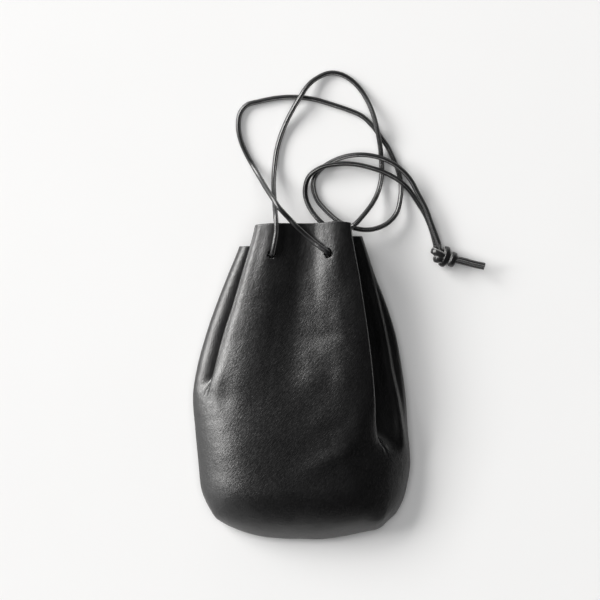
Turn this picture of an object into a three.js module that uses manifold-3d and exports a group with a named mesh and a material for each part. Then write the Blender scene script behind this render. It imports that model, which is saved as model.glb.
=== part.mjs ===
// Leather drawstring pouch, lying on its back with the mouth gathered by one lace.
// Millimetres, +Z up. The pouch lies on the plane z = 0, its front faces up and its mouth points to +Y.

import * as THREE from 'three';
import { mergeVertices } from 'three/addons/utils/BufferGeometryUtils.js';
import Module from 'manifold-3d';

// Leather and overall sizes
const POUCH_LENGTH = 253; // front rim to the lowest point of the bottom seam
const POUCH_WIDTH = 173.6; // across the belly
const BELLY_DEPTH = 38; // floor to the crown of the front
const MOUTH_DEPTH = 25; // back of the gathered mouth to its front ridges
const MOUTH_LIFT = 9; // how far the gathered mouth stands off the floor
const WALL = 1.4; // leather thickness
const SEAM_GAP = 0.3; // between the two panels' edges along the seam
const BOTTOM_TO_ORIGIN = 126.5; // the origin lies in the middle of the length, on the floor

// Pleats at the sides of the mouth
const PLEAT_REACH = 22; // how far a pleat tucks in under the front lobe
const PLEAT_GAP = 2.6; // open space between the folded layers
const FOLD_ROUND = 1.6; // rounding of the front lobe's fold edges
const VALLEY_TURN = 3; // length over which a pleat turns back at its inner end
const LIP_REACH = 5; // how far the back shows beyond the right lobe's ridge
const LOBE_ROUND = 4; // rounding of the right lobe's ridge

// Rim, measured down from the front rim
const RIM_DROP_LEFT = 19.2;
const RIM_DROP_RIGHT = 11.2;
const RIM_DROP_BACK = 5;

// Rounding towards the bottom seam
const FRONT_TOE = 40; // length over which the front curves down to the bottom seam
const BACK_TOE = 14; // length over which the back curves up to it
const FLAT_SHARE = 0.6; // middle share of the back that lies flat

// Form across the front: FULLNESS makes it boxier, OPEN_FULLNESS where the left pleat has opened, and
// EDGE_SHARE says how steeply the skin leaves a seam, from 0.5 for upright to 1 for a lens. The front leans
// up to the right between two shares of its width.
const FULLNESS = 2.4;
const OPEN_FULLNESS = 3.2;
const RIGHT_FULLNESS = 3.6;
const EDGE_SHARE = 0.8;
const BACK_EDGE_SHARE = 0.5;
const LEAN_START = 0.5;
const LEAN_SPREAD = 0.45;

// Lace and its holes
const LACE_DIAMETER = 4;
const LACE_SIDES = 8;
const LACE_CLEARANCE = 0.3; // between the lace and what it lies on
const LACE_END_GAP = 0.3; // between two stretches that meet end to end
const HOLE_DIAMETER = 6.4;
const HOLE_BELOW_RIM = 25.6;
const HOLE_LEFT = 23.6; // from the middle line to the left hole
const HOLE_RIGHT = 21.2; // from the middle line to the right hole
const PASS_INSET = 14.5; // from a fold edge in to the hidden holes of its pleat
const HOLE_CUT_REACH = 3; // how far a hole's cutter reaches past the lace's points at the wall
const HOLE_SIDES = 12;
const GATHER_SET_BACK = 2; // the gathered stretch runs this far below the front holes
const STRAND_STEPS = 40;
const LEATHER_CLEARANCE = 1.2; // between a free strand and the curved leather under it
const GATHER_STEPS = 24;
const STRAIGHT_OUT = 3; // a strand leaves its hole straight for this far

const RIM_Y = POUCH_LENGTH - BOTTOM_TO_ORIGIN;
const HALF_WIDTH = POUCH_WIDTH / 2;
const LACE_RADIUS = LACE_DIAMETER / 2;
const HOLE_Y = RIM_Y - HOLE_BELOW_RIM;
const BELLY_Y = RIM_Y - 0.6 * POUCH_LENGTH; // about where the pouch is widest

// Side lines seen from the front. "down" is the share of POUCH_LENGTH below the front rim, the other
// columns are shares of half of POUCH_WIDTH out from the middle line: the pouch's edge and the fold edge
// of the front lobe. CORNER is where the side seams turn into the bottom seam.
const CORNER = 0.92;
const LINES = [
  { down: 0.0, leftEdge: 0.493, leftFold: 0.419, rightEdge: 0.521, rightFold: 0.452 },
  { down: 0.044, leftEdge: 0.539, leftFold: 0.447, rightEdge: 0.558, rightFold: 0.467 },
  { down: 0.089, leftEdge: 0.584, leftFold: 0.484, rightEdge: 0.601, rightFold: 0.49 },
  { down: 0.171, leftEdge: 0.682, leftFold: 0.555, rightEdge: 0.68, rightFold: 0.534 },
  { down: 0.262, leftEdge: 0.786, leftFold: 0.633, rightEdge: 0.782, rightFold: 0.576 },
  { down: 0.354, leftEdge: 0.878, leftFold: 0.719, rightEdge: 0.865, rightFold: 0.616 },
  { down: 0.455, leftEdge: 0.958, leftFold: 0.797, rightEdge: 0.92, rightFold: 0.652 },
  { down: 0.547, leftEdge: 0.998, leftFold: 0.85, rightEdge: 0.957, rightFold: 0.676 },
  { down: 0.645, leftEdge: 0.979, leftFold: 0.86, rightEdge: 0.975, rightFold: 0.69 },
  { down: 0.762, leftEdge: 0.947, leftFold: 0.84, rightEdge: 0.998, rightFold: 0.745 },
  { down: 0.838, leftEdge: 0.923, leftFold: 0.81, rightEdge: 0.964, rightFold: 0.79 },
  { down: 0.879, leftEdge: 0.882, leftFold: 0.77, rightEdge: 0.929, rightFold: 0.77 },
  { down: CORNER, leftEdge: 0.817, leftFold: 0.72, rightEdge: 0.866, rightFold: 0.73 },
];

// Bottom seam: how high it lies above its lowest point, as a share of POUCH_LENGTH, against the share of
// half of POUCH_WIDTH from the middle line, negative to the left
const BOTTOM = [
  { across: -0.817, up: 0.08 },
  { across: -0.78, up: 0.0645 },
  { across: -0.668, up: 0.042 },
  { across: -0.558, up: 0.0265 },
  { across: -0.415, up: 0.012 },
  { across: -0.272, up: 0.0045 },
  { across: -0.1, up: 0.002 },
  { across: 0.08, up: 0.001 },
  { across: 0.217, up: 0.0 },
  { across: 0.29, up: 0.004 },
  { across: 0.429, up: 0.012 },
  { across: 0.576, up: 0.0235 },
  { across: 0.714, up: 0.034 },
  { across: 0.784, up: 0.055 },
  { across: 0.866, up: 0.08 },
];

// Heights. "neck" mixes from the belly's depth to the mouth's, "crown" is a share of BELLY_DEPTH, "lift" of
// MOUTH_LIFT, and "seam", the lobes and the front's "lean" up to the right are shares of the local depth.
const HEIGHTS = [
  { down: 0.0, neck: 1.0, crown: 0.86, lift: 1.0, seam: 0.2, leftLobe: 0.46, rightLobe: 0.34, lean: 0.28 },
  { down: 0.1, neck: 0.9, crown: 0.86, lift: 0.72, seam: 0.2, leftLobe: 0.46, rightLobe: 0.35, lean: 0.28 },
  { down: 0.2, neck: 0.6, crown: 0.86, lift: 0.42, seam: 0.2, leftLobe: 0.46, rightLobe: 0.37, lean: 0.26 },
  { down: 0.3, neck: 0.25, crown: 0.87, lift: 0.16, seam: 0.2, leftLobe: 0.46, rightLobe: 0.39, lean: 0.24 },
  { down: 0.4, neck: 0.05, crown: 0.89, lift: 0.0, seam: 0.21, leftLobe: 0.46, rightLobe: 0.42, lean: 0.22 },
  { down: 0.5, neck: 0.0, crown: 0.93, lift: 0.0, seam: 0.22, leftLobe: 0.47, rightLobe: 0.46, lean: 0.17 },
  { down: 0.65, neck: 0.0, crown: 0.98, lift: 0.0, seam: 0.23, leftLobe: 0.49, rightLobe: 0.52, lean: 0.1 },
  { down: 0.8, neck: 0.0, crown: 0.98, lift: 0.0, seam: 0.22, leftLobe: 0.5, rightLobe: 0.56, lean: 0.05 },
  { down: CORNER, neck: 0.0, crown: 0.94, lift: 0.0, seam: 0.22, leftLobe: 0.5, rightLobe: 0.58, lean: 0.0 },
];

// Front rim between the fold edges: how far it lies below its highest line, as a share of POUCH_LENGTH,
// against the share across
const RIM = [
  { share: 0, drop: 0.0085 },
  { share: 0.08, drop: 0.006 },
  { share: 0.18, drop: 0.004 },
  { share: 0.65, drop: 0.004 },
  { share: 0.84, drop: -0.002 },
  { share: 1, drop: 0.002 },
];

// Left pleat: "closed" is 1 where it is folded shut and 0 where it has opened into the plain side, "reach" is
// a share of PLEAT_REACH and "rise" the share of the way up to the front at which the fold edge stands
const LEFT_PLEAT = [
  { down: 0.0, closed: 1, reach: 1.0, rise: 0.12 },
  { down: 0.171, closed: 1, reach: 0.92, rise: 0.12 },
  { down: 0.262, closed: 1, reach: 0.75, rise: 0.12 },
  { down: 0.354, closed: 1, reach: 0.52, rise: 0.12 },
  { down: 0.455, closed: 0.9, reach: 0.28, rise: 0.2 },
  { down: 0.52, closed: 0.35, reach: 0.14, rise: 0.3 },
  { down: 0.56, closed: 0.0, reach: 0.08, rise: 0.3 },
  { down: CORNER, closed: 0.0, reach: 0.08, rise: 0.3 },
];

// Right pleat, with "lip" as a share of LIP_REACH and "dip" as a share of the local depth, for its trough
const RIGHT_PLEAT = [
  { down: 0.0, closed: 1, reach: 1.0, rise: 0.9, lip: 0.0, dip: 0.0 },
  { down: 0.171, closed: 1, reach: 0.95, rise: 0.9, lip: 0.1, dip: 0.01 },
  { down: 0.262, closed: 1, reach: 0.85, rise: 0.9, lip: 0.6, dip: 0.03 },
  { down: 0.354, closed: 1, reach: 0.7, rise: 0.88, lip: 0.95, dip: 0.05 },
  { down: 0.455, closed: 1, reach: 0.55, rise: 0.85, lip: 1.0, dip: 0.07 },
  { down: 0.52, closed: 1, reach: 0.45, rise: 0.8, lip: 0.8, dip: 0.08 },
  { down: 0.56, closed: 1, reach: 0.4, rise: 0.7, lip: 0.6, dip: 0.09 },
  { down: 0.645, closed: 0.8, reach: 0.28, rise: 0.45, lip: 0.2, dip: 0.08 },
  { down: 0.7, closed: 0.28, reach: 0.18, rise: 0.2, lip: 0.0, dip: 0.05 },
  { down: 0.745, closed: 0.0, reach: 0.1, rise: 0.1, lip: 0.0, dip: 0.0 },
  { down: CORNER, closed: 0.0, reach: 0.1, rise: 0.1, lip: 0.0, dip: 0.0 },
];

// Dents and swells of the front leather: centre and reach as shares of half of POUCH_WIDTH and of
// POUCH_LENGTH, slant in degrees, rise as a share of BELLY_DEPTH, negative for a dent
const RELIEF = [
  { name: 'mouthValley', across: 0.04, down: 0.03, wide: 0.14, long: 0.16, slant: 0, rise: -0.05 },
  { name: 'valleyRun', across: -0.08, down: 0.26, wide: 0.15, long: 0.17, slant: -14, rise: -0.045 },
  { name: 'leftRidge', across: -0.29, down: 0.08, wide: 0.08, long: 0.13, slant: -8, rise: 0.03 },
  { name: 'rightRidge', across: 0.39, down: 0.05, wide: 0.11, long: 0.11, slant: -15, rise: 0.028 },
  { name: 'underHole', across: 0.29, down: 0.17, wide: 0.09, long: 0.08, slant: -8, rise: 0.02 },
  { name: 'rightBreast', across: 0.42, down: 0.26, wide: 0.12, long: 0.08, slant: -10, rise: 0.024 },
  { name: 'middleSwell', across: 0.22, down: 0.41, wide: 0.2, long: 0.04, slant: 0, rise: 0.02 },
  { name: 'leftSwell', across: -0.64, down: 0.72, wide: 0.2, long: 0.09, slant: 0, rise: 0.018 },
  { name: 'slantBand', across: 0.28, down: 0.74, wide: 0.07, long: 0.11, slant: -59, rise: 0.034 },
];

const LEATHER = new THREE.MeshStandardMaterial({ color: 0x17171a, roughness: 0.5, metalness: 0 });
const LACE_LEATHER = new THREE.MeshStandardMaterial({ color: 0x121214, roughness: 0.45, metalness: 0 });

const wasm = await Module();
wasm.setup();

const mix = (a, b, share) => a + (b - a) * share;
const clamp01 = (value) => Math.min(1, Math.max(0, value));
const smooth = (value) => clamp01(value) ** 2 * (3 - 2 * clamp01(value));

// Reads one column of a table at a place between its rows, on a smooth curve through the rows
function readColumn(table, key, column, at) {
  const last = table.length - 1;
  const place = Math.min(table[last][key], Math.max(table[0][key], at));
  let row = 0;
  while (row < last - 1 && place > table[row + 1][key]) row += 1;
  const before = table[Math.max(0, row - 1)];
  const start = table[row];
  const end = table[row + 1];
  const after = table[Math.min(last, row + 2)];
  const span = end[key] - start[key];
  const share = (place - start[key]) / span;
  const startSlope = (end[column] - before[column]) / (end[key] - before[key]);
  const endSlope = (after[column] - start[column]) / (after[key] - start[key]);
  const square = share * share;
  const cube = square * share;
  return (2 * cube - 3 * square + 1) * start[column]
    + (cube - 2 * square + share) * span * startSlope
    + (3 * square - 2 * cube) * end[column]
    + (cube - square) * span * endSlope;
}

const lines = (column, down) => readColumn(LINES, 'down', column, down) * HALF_WIDTH;
const heights = (column, down) => readColumn(HEIGHTS, 'down', column, down);
const rimDropAt = (share) => readColumn(RIM, 'share', 'drop', share) * POUCH_LENGTH;
const bottomUp = (x) => readColumn(BOTTOM, 'across', 'up', x / HALF_WIDTH) * POUCH_LENGTH;

// Heights over the floor at one distance below the rim
function levelsAt(down) {
  const back = MOUTH_LIFT * Math.max(0, heights('lift', down));
  const belly = BELLY_DEPTH * heights('crown', down);
  const crown = mix(belly, MOUTH_LIFT + MOUTH_DEPTH, heights('neck', down));
  const depth = crown - back;
  const seam = back + depth * heights('seam', down);
  const lean = depth * heights('lean', down);
  return { back, crown, depth, seam, lean };
}

function reliefAt(x, down) {
  let rise = 0;
  for (const form of RELIEF) {
    const angle = THREE.MathUtils.degToRad(form.slant);
    const dx = x - form.across * HALF_WIDTH;
    const dy = (form.down - down) * POUCH_LENGTH;
    const wide = (dx * Math.cos(angle) + dy * Math.sin(angle)) / (form.wide * HALF_WIDTH);
    const long = (dy * Math.cos(angle) - dx * Math.sin(angle)) / (form.long * POUCH_LENGTH);
    rise += form.rise * BELLY_DEPTH * Math.exp(-wide * wide - long * long);
  }
  return rise;
}

// Rounded profile across the pouch: 0 at both ends of the share, 1 over the middle
function arch(share, left, right) {
  const out = Math.min(1, Math.abs(2 * share - 1));
  return (1 - out ** mix(left, right, smooth(share))) ** EDGE_SHARE;
}

// Share of the lean across the front: it stays low on the left and stands high on the right
const leanAt = (share) => smooth((share - LEAN_START) / LEAN_SPREAD) - 0.5;

// Rounding towards the bottom seam: 0 on the seam, 1 from "reach" away from it
function toe(distance, reach, edgeShare) {
  const left = 1 - clamp01(distance / reach);
  return (1 - left * left) ** edgeShare;
}

// Two roundings at once, where the lower one rules
function lower(first, second) {
  const one = first * first;
  const two = second * second;
  return first * second / Math.sqrt(Math.max(1e-12, one + two - one * two));
}

// A station is one line of the skin that runs from the rim to the bottom seam. Its place follows from how
// far its rim lies below the front rim, from its share across the bottom, and from the row's share down.
function downOf(rimDrop, bottomX, row) {
  const rim = rimDrop / POUCH_LENGTH;
  const bottom = 1 - bottomUp(bottomX) / POUCH_LENGTH;
  const down = mix(rim, bottom, row);
  const lookup = down - (bottom - CORNER) * row ** 3;
  const toSeam = (bottom - down) * POUCH_LENGTH;
  return { down, lookup, toSeam, y: RIM_Y - down * POUCH_LENGTH };
}

// Front skin without pleats, above a point across the pouch
function openFront(x, place) {
  const levels = levelsAt(place.lookup);
  const left = -lines('leftEdge', place.lookup);
  const right = lines('rightEdge', place.lookup);
  const share = (x - left) / (right - left);
  const swell = lower(arch(share, OPEN_FULLNESS, FULLNESS), toe(place.toSeam, FRONT_TOE, EDGE_SHARE));
  const seam = levels.seam + SEAM_GAP / 2;
  const crown = levels.crown + levels.lean * leanAt(share);
  return mix(seam, crown, swell) + reliefAt(x, place.down) * swell;
}

// Everything that one side's pleat needs at one distance below the rim, with x counted outwards
function pleatAt(side, down) {
  const name = side < 0 ? 'left' : 'right';
  const table = side < 0 ? LEFT_PLEAT : RIGHT_PLEAT;
  const column = (key) => readColumn(table, 'down', key, down);
  const levels = levelsAt(down);
  const edge = lines(`${name}Edge`, down);
  const fold = lines(`${name}Fold`, down);
  const reach = PLEAT_REACH * column('reach');
  const lobe = levels.back + levels.depth * heights(`${name}Lobe`, down);
  const under = lobe + PLEAT_GAP;
  const foldTop = mix(under, levels.crown + side * levels.lean / 2, column('rise'));
  const pleat = {
    levels,
    edge,
    fold,
    valley: fold - reach,
    lobe,
    under,
    top: Math.max(foldTop, under + FOLD_ROUND),
    turn: Math.min(VALLEY_TURN, reach * 0.4),
    closed: smooth(column('closed')),
    seam: levels.seam + SEAM_GAP / 2,
  };
  if (side < 0) return pleat;
  const lip = LIP_REACH * clamp01(column('lip'));
  const dip = levels.depth * clamp01(column('dip'));
  const round = Math.min(LOBE_ROUND, 0.3 * (edge - lip - fold));
  return { ...pleat, lip, dip, round };
}

// Place on the left lobe's round side, from the seam at 0 degrees to the fold edge at 90
function roll(pleat, degrees) {
  const angle = THREE.MathUtils.degToRad(degrees);
  return [mix(pleat.fold, pleat.edge, Math.cos(angle)), mix(pleat.seam, pleat.lobe, Math.sin(angle))];
}

// Stations of a pleat from the seam inwards. "drop" is the share of the side's rim drop, "open" the share
// of the way from the seam to the fold edge once the pleat has opened, and "shut" the place [x, z] when shut.
const LEFT_STATIONS = [
  { drop: 1, open: 0.0, shut: (p) => [p.edge, p.seam] },
  { drop: 1, open: 0.15, shut: (p) => roll(p, 16) },
  { drop: 1, open: 0.21, shut: (p) => roll(p, 34) },
  { drop: 1, open: 0.33, shut: (p) => roll(p, 53) },
  { drop: 1, open: 0.46, shut: (p) => roll(p, 72) },
  { drop: 1, open: 0.58, shut: (p) => roll(p, 90) },
  { drop: 1, open: 0.68, shut: (p) => [p.valley + p.turn, p.lobe] },
  { drop: 0.8, open: 0.76, shut: (p) => [p.valley, mix(p.lobe, p.under, 0.5)] },
  { drop: 0.5, open: 0.82, shut: (p) => [p.valley + p.turn, p.under] },
  { drop: 0.06, open: 0.89, shut: (p) => [p.fold - 1.5 * FOLD_ROUND, p.under] },
  { drop: 0.02, open: 0.95, shut: (p) => [p.fold, mix(p.under, p.top, 0.5)] },
  { drop: 0, open: 1.0, shut: (p) => [p.fold - 0.6 * FOLD_ROUND, p.top] },
];

const RIGHT_STATIONS = [
  { drop: 1, open: 0.0, shut: (p) => [p.edge, p.seam] },
  { drop: 1, open: 0.15, shut: (p) => [p.edge - 0.1 * p.round - 0.3 * p.lip, mix(p.seam, p.lobe, 0.28)] },
  { drop: 1, open: 0.2, shut: (p) => [p.edge - 0.3 * p.round - 1.2 * p.lip, mix(p.seam, p.lobe, 0.55)] },
  { drop: 1, open: 0.3, shut: (p) => [p.edge - 0.7 * p.round - p.lip, mix(p.seam, p.lobe, 0.85)] },
  { drop: 1, open: 0.42, shut: (p) => [p.edge - 1.5 * p.round - 1.2 * p.lip, p.lobe] },
  { drop: 1, open: 0.55, shut: (p) => [mix(p.edge - p.lip, p.fold, 0.75), p.lobe - p.dip] },
  { drop: 1, open: 0.66, shut: (p) => [p.valley + p.turn, p.lobe - 0.5 * p.dip] },
  { drop: 0.8, open: 0.74, shut: (p) => [p.valley, mix(p.lobe - 0.5 * p.dip, p.under, 0.5)] },
  { drop: 0.5, open: 0.8, shut: (p) => [p.valley + p.turn, p.under] },
  { drop: 0.2, open: 0.84, shut: (p) => [p.fold - 2.8 * FOLD_ROUND, mix(p.under, p.top, 0.05)] },
  { drop: 0.06, open: 0.88, shut: (p) => [p.fold - 1.2 * FOLD_ROUND, mix(p.under, p.top, 0.5)] },
  { drop: 0.02, open: 0.94, shut: (p) => [p.fold - 0.1 * FOLD_ROUND, p.top - 1.1 * FOLD_ROUND] },
  { drop: 0, open: 1.0, shut: (p) => [p.fold - 0.5 * FOLD_ROUND, p.top - 0.1 * FOLD_ROUND] },
];

function pleatStation(station, side, row) {
  const rimDrop = mix(
    rimDropAt(side < 0 ? 0 : 1),
    side < 0 ? RIM_DROP_LEFT : RIM_DROP_RIGHT,
    station.drop,
  );
  const cornerEdge = lines(side < 0 ? 'leftEdge' : 'rightEdge', CORNER);
  const cornerFold = lines(side < 0 ? 'leftFold' : 'rightFold', CORNER);
  const spread = 1 - Math.cos(station.open * Math.PI / 2);
  const place = downOf(rimDrop, side * mix(cornerEdge, cornerFold, spread), row);
  const pleat = pleatAt(side, place.lookup);
  const openX = mix(pleat.edge, pleat.fold, spread);
  const [shutX, shutZ] = station.shut(pleat);
  const x = side * mix(openX, shutX, pleat.closed);
  const z = mix(openFront(side * openX, place), shutZ, pleat.closed);
  return new THREE.Vector3(x, place.y, z);
}

// Stations of the front lobe between its two fold edges, as shares across
const LOBE_STATIONS = [0.04, 0.1, 0.18, 0.27, 0.37, 0.49, 0.61, 0.72, 0.82, 0.9, 0.965];

// Front lobe's skin where both pleats are shut
function shutFront(left, right, share, x, down) {
  const foldTop = mix(left.top, right.top, share);
  const crown = left.levels.crown + left.levels.lean * leanAt(share);
  const swell = arch(share, FULLNESS, RIGHT_FULLNESS);
  return mix(foldTop, crown, swell) + reliefAt(x, down) * swell;
}

function lobeStation(share, row) {
  const cornerX = mix(-lines('leftFold', CORNER), lines('rightFold', CORNER), share);
  const place = downOf(rimDropAt(share), cornerX, row);
  const left = pleatAt(-1, place.lookup);
  const right = pleatAt(1, place.lookup);
  const x = mix(-left.fold, right.fold, share);
  const closed = mix(left.closed, right.closed, smooth(share));
  const z = mix(openFront(x, place), shutFront(left, right, share, x, place.down), closed);
  return new THREE.Vector3(x, place.y, z);
}

// Stations of the back between its two seams, as shares across
const BACK_STATIONS = [
  0, 0.006, 0.02, 0.045, 0.085, 0.14, 0.2, 0.35, 0.5, 0.65, 0.8, 0.86, 0.915, 0.955, 0.98, 0.994, 1,
];

function backStation(share, row) {
  const sideDrop = share < 0.5 ? RIM_DROP_LEFT : RIM_DROP_RIGHT;
  const out = Math.abs(2 * share - 1);
  const rimDrop = mix(RIM_DROP_BACK, sideDrop, smooth((out - 0.4) / 0.35));
  const cornerX = mix(-lines('leftEdge', CORNER), lines('rightEdge', CORNER), share);
  const place = downOf(rimDrop, cornerX, row);
  const levels = levelsAt(place.lookup);
  const x = mix(-lines('leftEdge', place.lookup), lines('rightEdge', place.lookup), share);
  const rising = clamp01((out - FLAT_SHARE) / (1 - FLAT_SHARE)) ** 3;
  const flat = Math.sqrt(1 - rising) * toe(place.toSeam, BACK_TOE, BACK_EDGE_SHARE);
  return new THREE.Vector3(x, place.y, mix(levels.seam - SEAM_GAP / 2, levels.back, flat));
}

// Rows from the rim to the bottom seam, closer together where the skin curves
const ROWS = [
  0, 0.045, 0.09, 0.14, 0.19, 0.24, 0.29, 0.34, 0.39, 0.435, 0.475, 0.51, 0.545, 0.58, 0.62, 0.66, 0.7,
  0.74, 0.78, 0.82, 0.86, 0.895, 0.925, 0.95, 0.97, 0.985, 0.995, 1,
];

// Points of a skin: each row is a smooth curve through its stations, cut the same way in every row
function skinGrid(stationsOf, cuts) {
  return ROWS.map((row) => {
    const stations = stationsOf(row);
    const curve = new THREE.CatmullRomCurve3(stations, false, 'centripetal');
    const points = [];
    for (let span = 0; span < stations.length - 1; span += 1) {
      const steps = cuts(span, stations.length - 1);
      for (let step = 0; step < steps; step += 1) {
        points.push(curve.getPoint((span + step / steps) / (stations.length - 1)));
      }
    }
    points.push(stations[stations.length - 1].clone());
    return points;
  });
}

// Outward direction at each point of a skin; along the seam it is level, so the edges face each other
function skinNormals(grid, facing) {
  const lastRow = grid.length - 1;
  const lastPoint = grid[0].length - 1;
  return grid.map((points, row) => points.map((point, index) => {
    const across = new THREE.Vector3().subVectors(
      points[Math.min(lastPoint, index + 1)],
      points[Math.max(0, index - 1)],
    );
    const along = new THREE.Vector3().subVectors(
      grid[Math.min(lastRow, row + 1)][index],
      grid[Math.max(0, row - 1)][index],
    );
    const normal = across.normalize().cross(along.normalize()).multiplyScalar(-facing);
    if (row === lastRow || index === 0 || index === lastPoint) {
      const before = row === lastRow ? points[Math.max(0, index - 1)] : grid[Math.max(0, row - 1)][index];
      const after = row === lastRow ? points[Math.min(lastPoint, index + 1)] : grid[row + 1][index];
      const seam = new THREE.Vector3().subVectors(after, before);
      const level = new THREE.Vector3(seam.y, -seam.x, 0).normalize();
      const centre = new THREE.Vector3(0, BELLY_Y, 0);
      const outward = new THREE.Vector3().subVectors(point, centre);
      if (level.dot(outward) < 0) level.negate();
      return level;
    }
    return normal.normalize();
  }));
}

// Turns a skin into a wall: the skin itself, a copy WALL inside it, and the edges that join them
function wallFromSkin(grid, facing) {
  const normals = skinNormals(grid, facing);
  const rows = grid.length;
  const across = grid[0].length;
  const outer = (row, index) => row * across + index;
  const inner = (row, index) => rows * across + row * across + index;
  const positions = [];
  for (const points of grid) {
    for (const point of points) positions.push(point.x, point.y, point.z);
  }
  grid.forEach((points, row) => points.forEach((point, index) => {
    const inside = point.clone().addScaledVector(normals[row][index], -WALL);
    positions.push(inside.x, inside.y, inside.z);
  }));
  const faces = [];
  const quad = (a, b, c, d, slanted) => {
    const corners = slanted ? [a, b, c, a, c, d] : [a, b, d, b, c, d];
    if (facing < 0) corners.reverse();
    faces.push(...corners);
  };
  for (let row = 0; row < rows - 1; row += 1) {
    for (let index = 0; index < across - 1; index += 1) {
      const first = grid[row][index].distanceTo(grid[row + 1][index + 1]);
      const second = grid[row][index + 1].distanceTo(grid[row + 1][index]);
      const slanted = first < second;
      quad(outer(row, index), outer(row + 1, index), outer(row + 1, index + 1), outer(row, index + 1), slanted);
      quad(inner(row, index), inner(row, index + 1), inner(row + 1, index + 1), inner(row + 1, index), slanted);
    }
  }
  for (let index = 0; index < across - 1; index += 1) {
    const last = rows - 1;
    quad(outer(0, index), outer(0, index + 1), inner(0, index + 1), inner(0, index), true);
    quad(outer(last, index), inner(last, index), inner(last, index + 1), outer(last, index + 1), true);
  }
  for (let row = 0; row < rows - 1; row += 1) {
    const last = across - 1;
    quad(outer(row, 0), inner(row, 0), inner(row + 1, 0), outer(row + 1, 0), true);
    quad(outer(row, last), outer(row + 1, last), inner(row + 1, last), inner(row, last), true);
  }
  const geometry = new THREE.BufferGeometry();
  geometry.setAttribute('position', new THREE.Float32BufferAttribute(positions, 3));
  geometry.setIndex(faces);
  return geometry;
}

// A smooth route whose steps are shorter where its points lie closer together
class LaceRoute extends THREE.CatmullRomCurve3 {
  getPointAt(share, target) {
    return this.getPoint(share, target);
  }

  getTangentAt(share, target) {
    return this.getTangent(share, target);
  }
}

// A round tube along a smooth route, closed at both ends
function tube(points, diameter, steps, sides) {
  const section = new THREE.Shape();
  for (let side = 0; side < sides; side += 1) {
    const angle = (side / sides) * Math.PI * 2;
    const x = Math.cos(angle) * diameter / 2;
    const y = Math.sin(angle) * diameter / 2;
    if (side === 0) section.moveTo(x, y);
    else section.lineTo(x, y);
  }
  section.closePath();
  const curve = new LaceRoute(points, false, 'centripetal');
  const options = { extrudePath: curve, steps, curveSegments: 1, bevelEnabled: false };
  return new THREE.ExtrudeGeometry(section, options);
}

function toManifold(geometry) {
  const plain = geometry.clone();
  plain.deleteAttribute('normal');
  plain.deleteAttribute('uv');
  const merged = mergeVertices(plain, 1e-4);
  const vertProperties = new Float32Array(merged.attributes.position.array);
  const triVerts = new Uint32Array(merged.index.array);
  return new wasm.Manifold(new wasm.Mesh({ numProp: 3, vertProperties, triVerts }));
}

function fromManifold(solid) {
  const mesh = solid.getMesh();
  const geometry = new THREE.BufferGeometry();
  geometry.setAttribute('position', new THREE.Float32BufferAttribute(mesh.vertProperties, 3));
  geometry.setIndex(Array.from(mesh.triVerts));
  return geometry;
}

// Panels

function frontStations(row) {
  const left = LEFT_STATIONS.map((station) => pleatStation(station, -1, row));
  const right = RIGHT_STATIONS.map((station) => pleatStation(station, 1, row)).reverse();
  const lobe = LOBE_STATIONS.map((share) => lobeStation(share, row));
  return [...left, ...lobe, ...right];
}

const backStations = (row) => BACK_STATIONS.map((share) => backStation(share, row));

// Only the longer spans of the lobes are cut in two
function frontCuts(span, spans) {
  const fromSide = Math.min(span, spans - 1 - span);
  return fromSide === 4 || fromSide === 7 || fromSide === 9 || fromSide === 5 ? 2 : 1;
}

// The lace's way through the gathered mouth

// Height of the front lobe's skin near the mouth
function frontSkinHeight(x, belowRim) {
  const down = belowRim / POUCH_LENGTH;
  const left = pleatAt(-1, down);
  const right = pleatAt(1, down);
  const share = (x + left.fold) / (left.fold + right.fold);
  return shutFront(left, right, share, x, down);
}

// Offsets of the gathered lace's points from its holes and from the layers that it passes
const GATHER = {
  startBelow: 0.9,
  enterOut: 0.8,
  enterBack: 1.6,
  enterBelow: 4,
  slackShare: 0.65,
  passAbove: 1,
  passOut: 0.4,
  turnIn: 1.4,
  turnShare: 0.2,
  floorIn: 5.2,
};

// One side of the gathered lace, from the front hole down through the two hidden holes of the pleat
function gatherSide(side, holeX) {
  const pleat = pleatAt(side, HOLE_BELOW_RIM / POUCH_LENGTH);
  const skin = frontSkinHeight(side * holeX, HOLE_BELOW_RIM);
  const passX = pleat.fold - PASS_INSET;
  const floorZ = pleat.levels.back + WALL + LACE_CLEARANCE + LACE_RADIUS;
  const point = (x, back, z) => new THREE.Vector3(side * x, HOLE_Y - back, z);
  return [
    point(holeX, 0, skin - GATHER.startBelow),
    point(holeX + GATHER.enterOut, GATHER.enterBack, skin - GATHER.enterBelow),
    point(mix(holeX, passX, GATHER.slackShare), GATHER_SET_BACK, mix(skin, pleat.under, 0.5)),
    point(passX, GATHER_SET_BACK, pleat.under + GATHER.passAbove),
    point(passX + GATHER.passOut, GATHER_SET_BACK, pleat.lobe - WALL),
    point(passX - GATHER.turnIn, GATHER_SET_BACK, mix(floorZ, pleat.lobe, GATHER.turnShare)),
    point(passX - GATHER.floorIn, GATHER_SET_BACK, floorZ),
  ];
}

const gatherLeft = gatherSide(-1, HOLE_LEFT);
const gatherRight = gatherSide(1, HOLE_RIGHT);
const gatherRoute = [
  ...gatherLeft,
  new THREE.Vector3(0, HOLE_Y - GATHER_SET_BACK, gatherLeft.at(-1).z),
  ...gatherRight.toReversed(),
];

// Free strands. Each leaves its hole, lies on the front leather up to the rim and then follows its own
// points: x from the middle line, distance past the front rim, height of the lace's middle over the floor.
const LEFT_ON_LEATHER = [[-21.8, -18.6], [-20.8, -13], [-20, -7.5], [-20, -2]];
const RIGHT_ON_LEATHER = [[15.4, -20.6], [10.6, -16.8], [5.4, -12.4], [0.4, -7.9], [-4.8, -3]];

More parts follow.
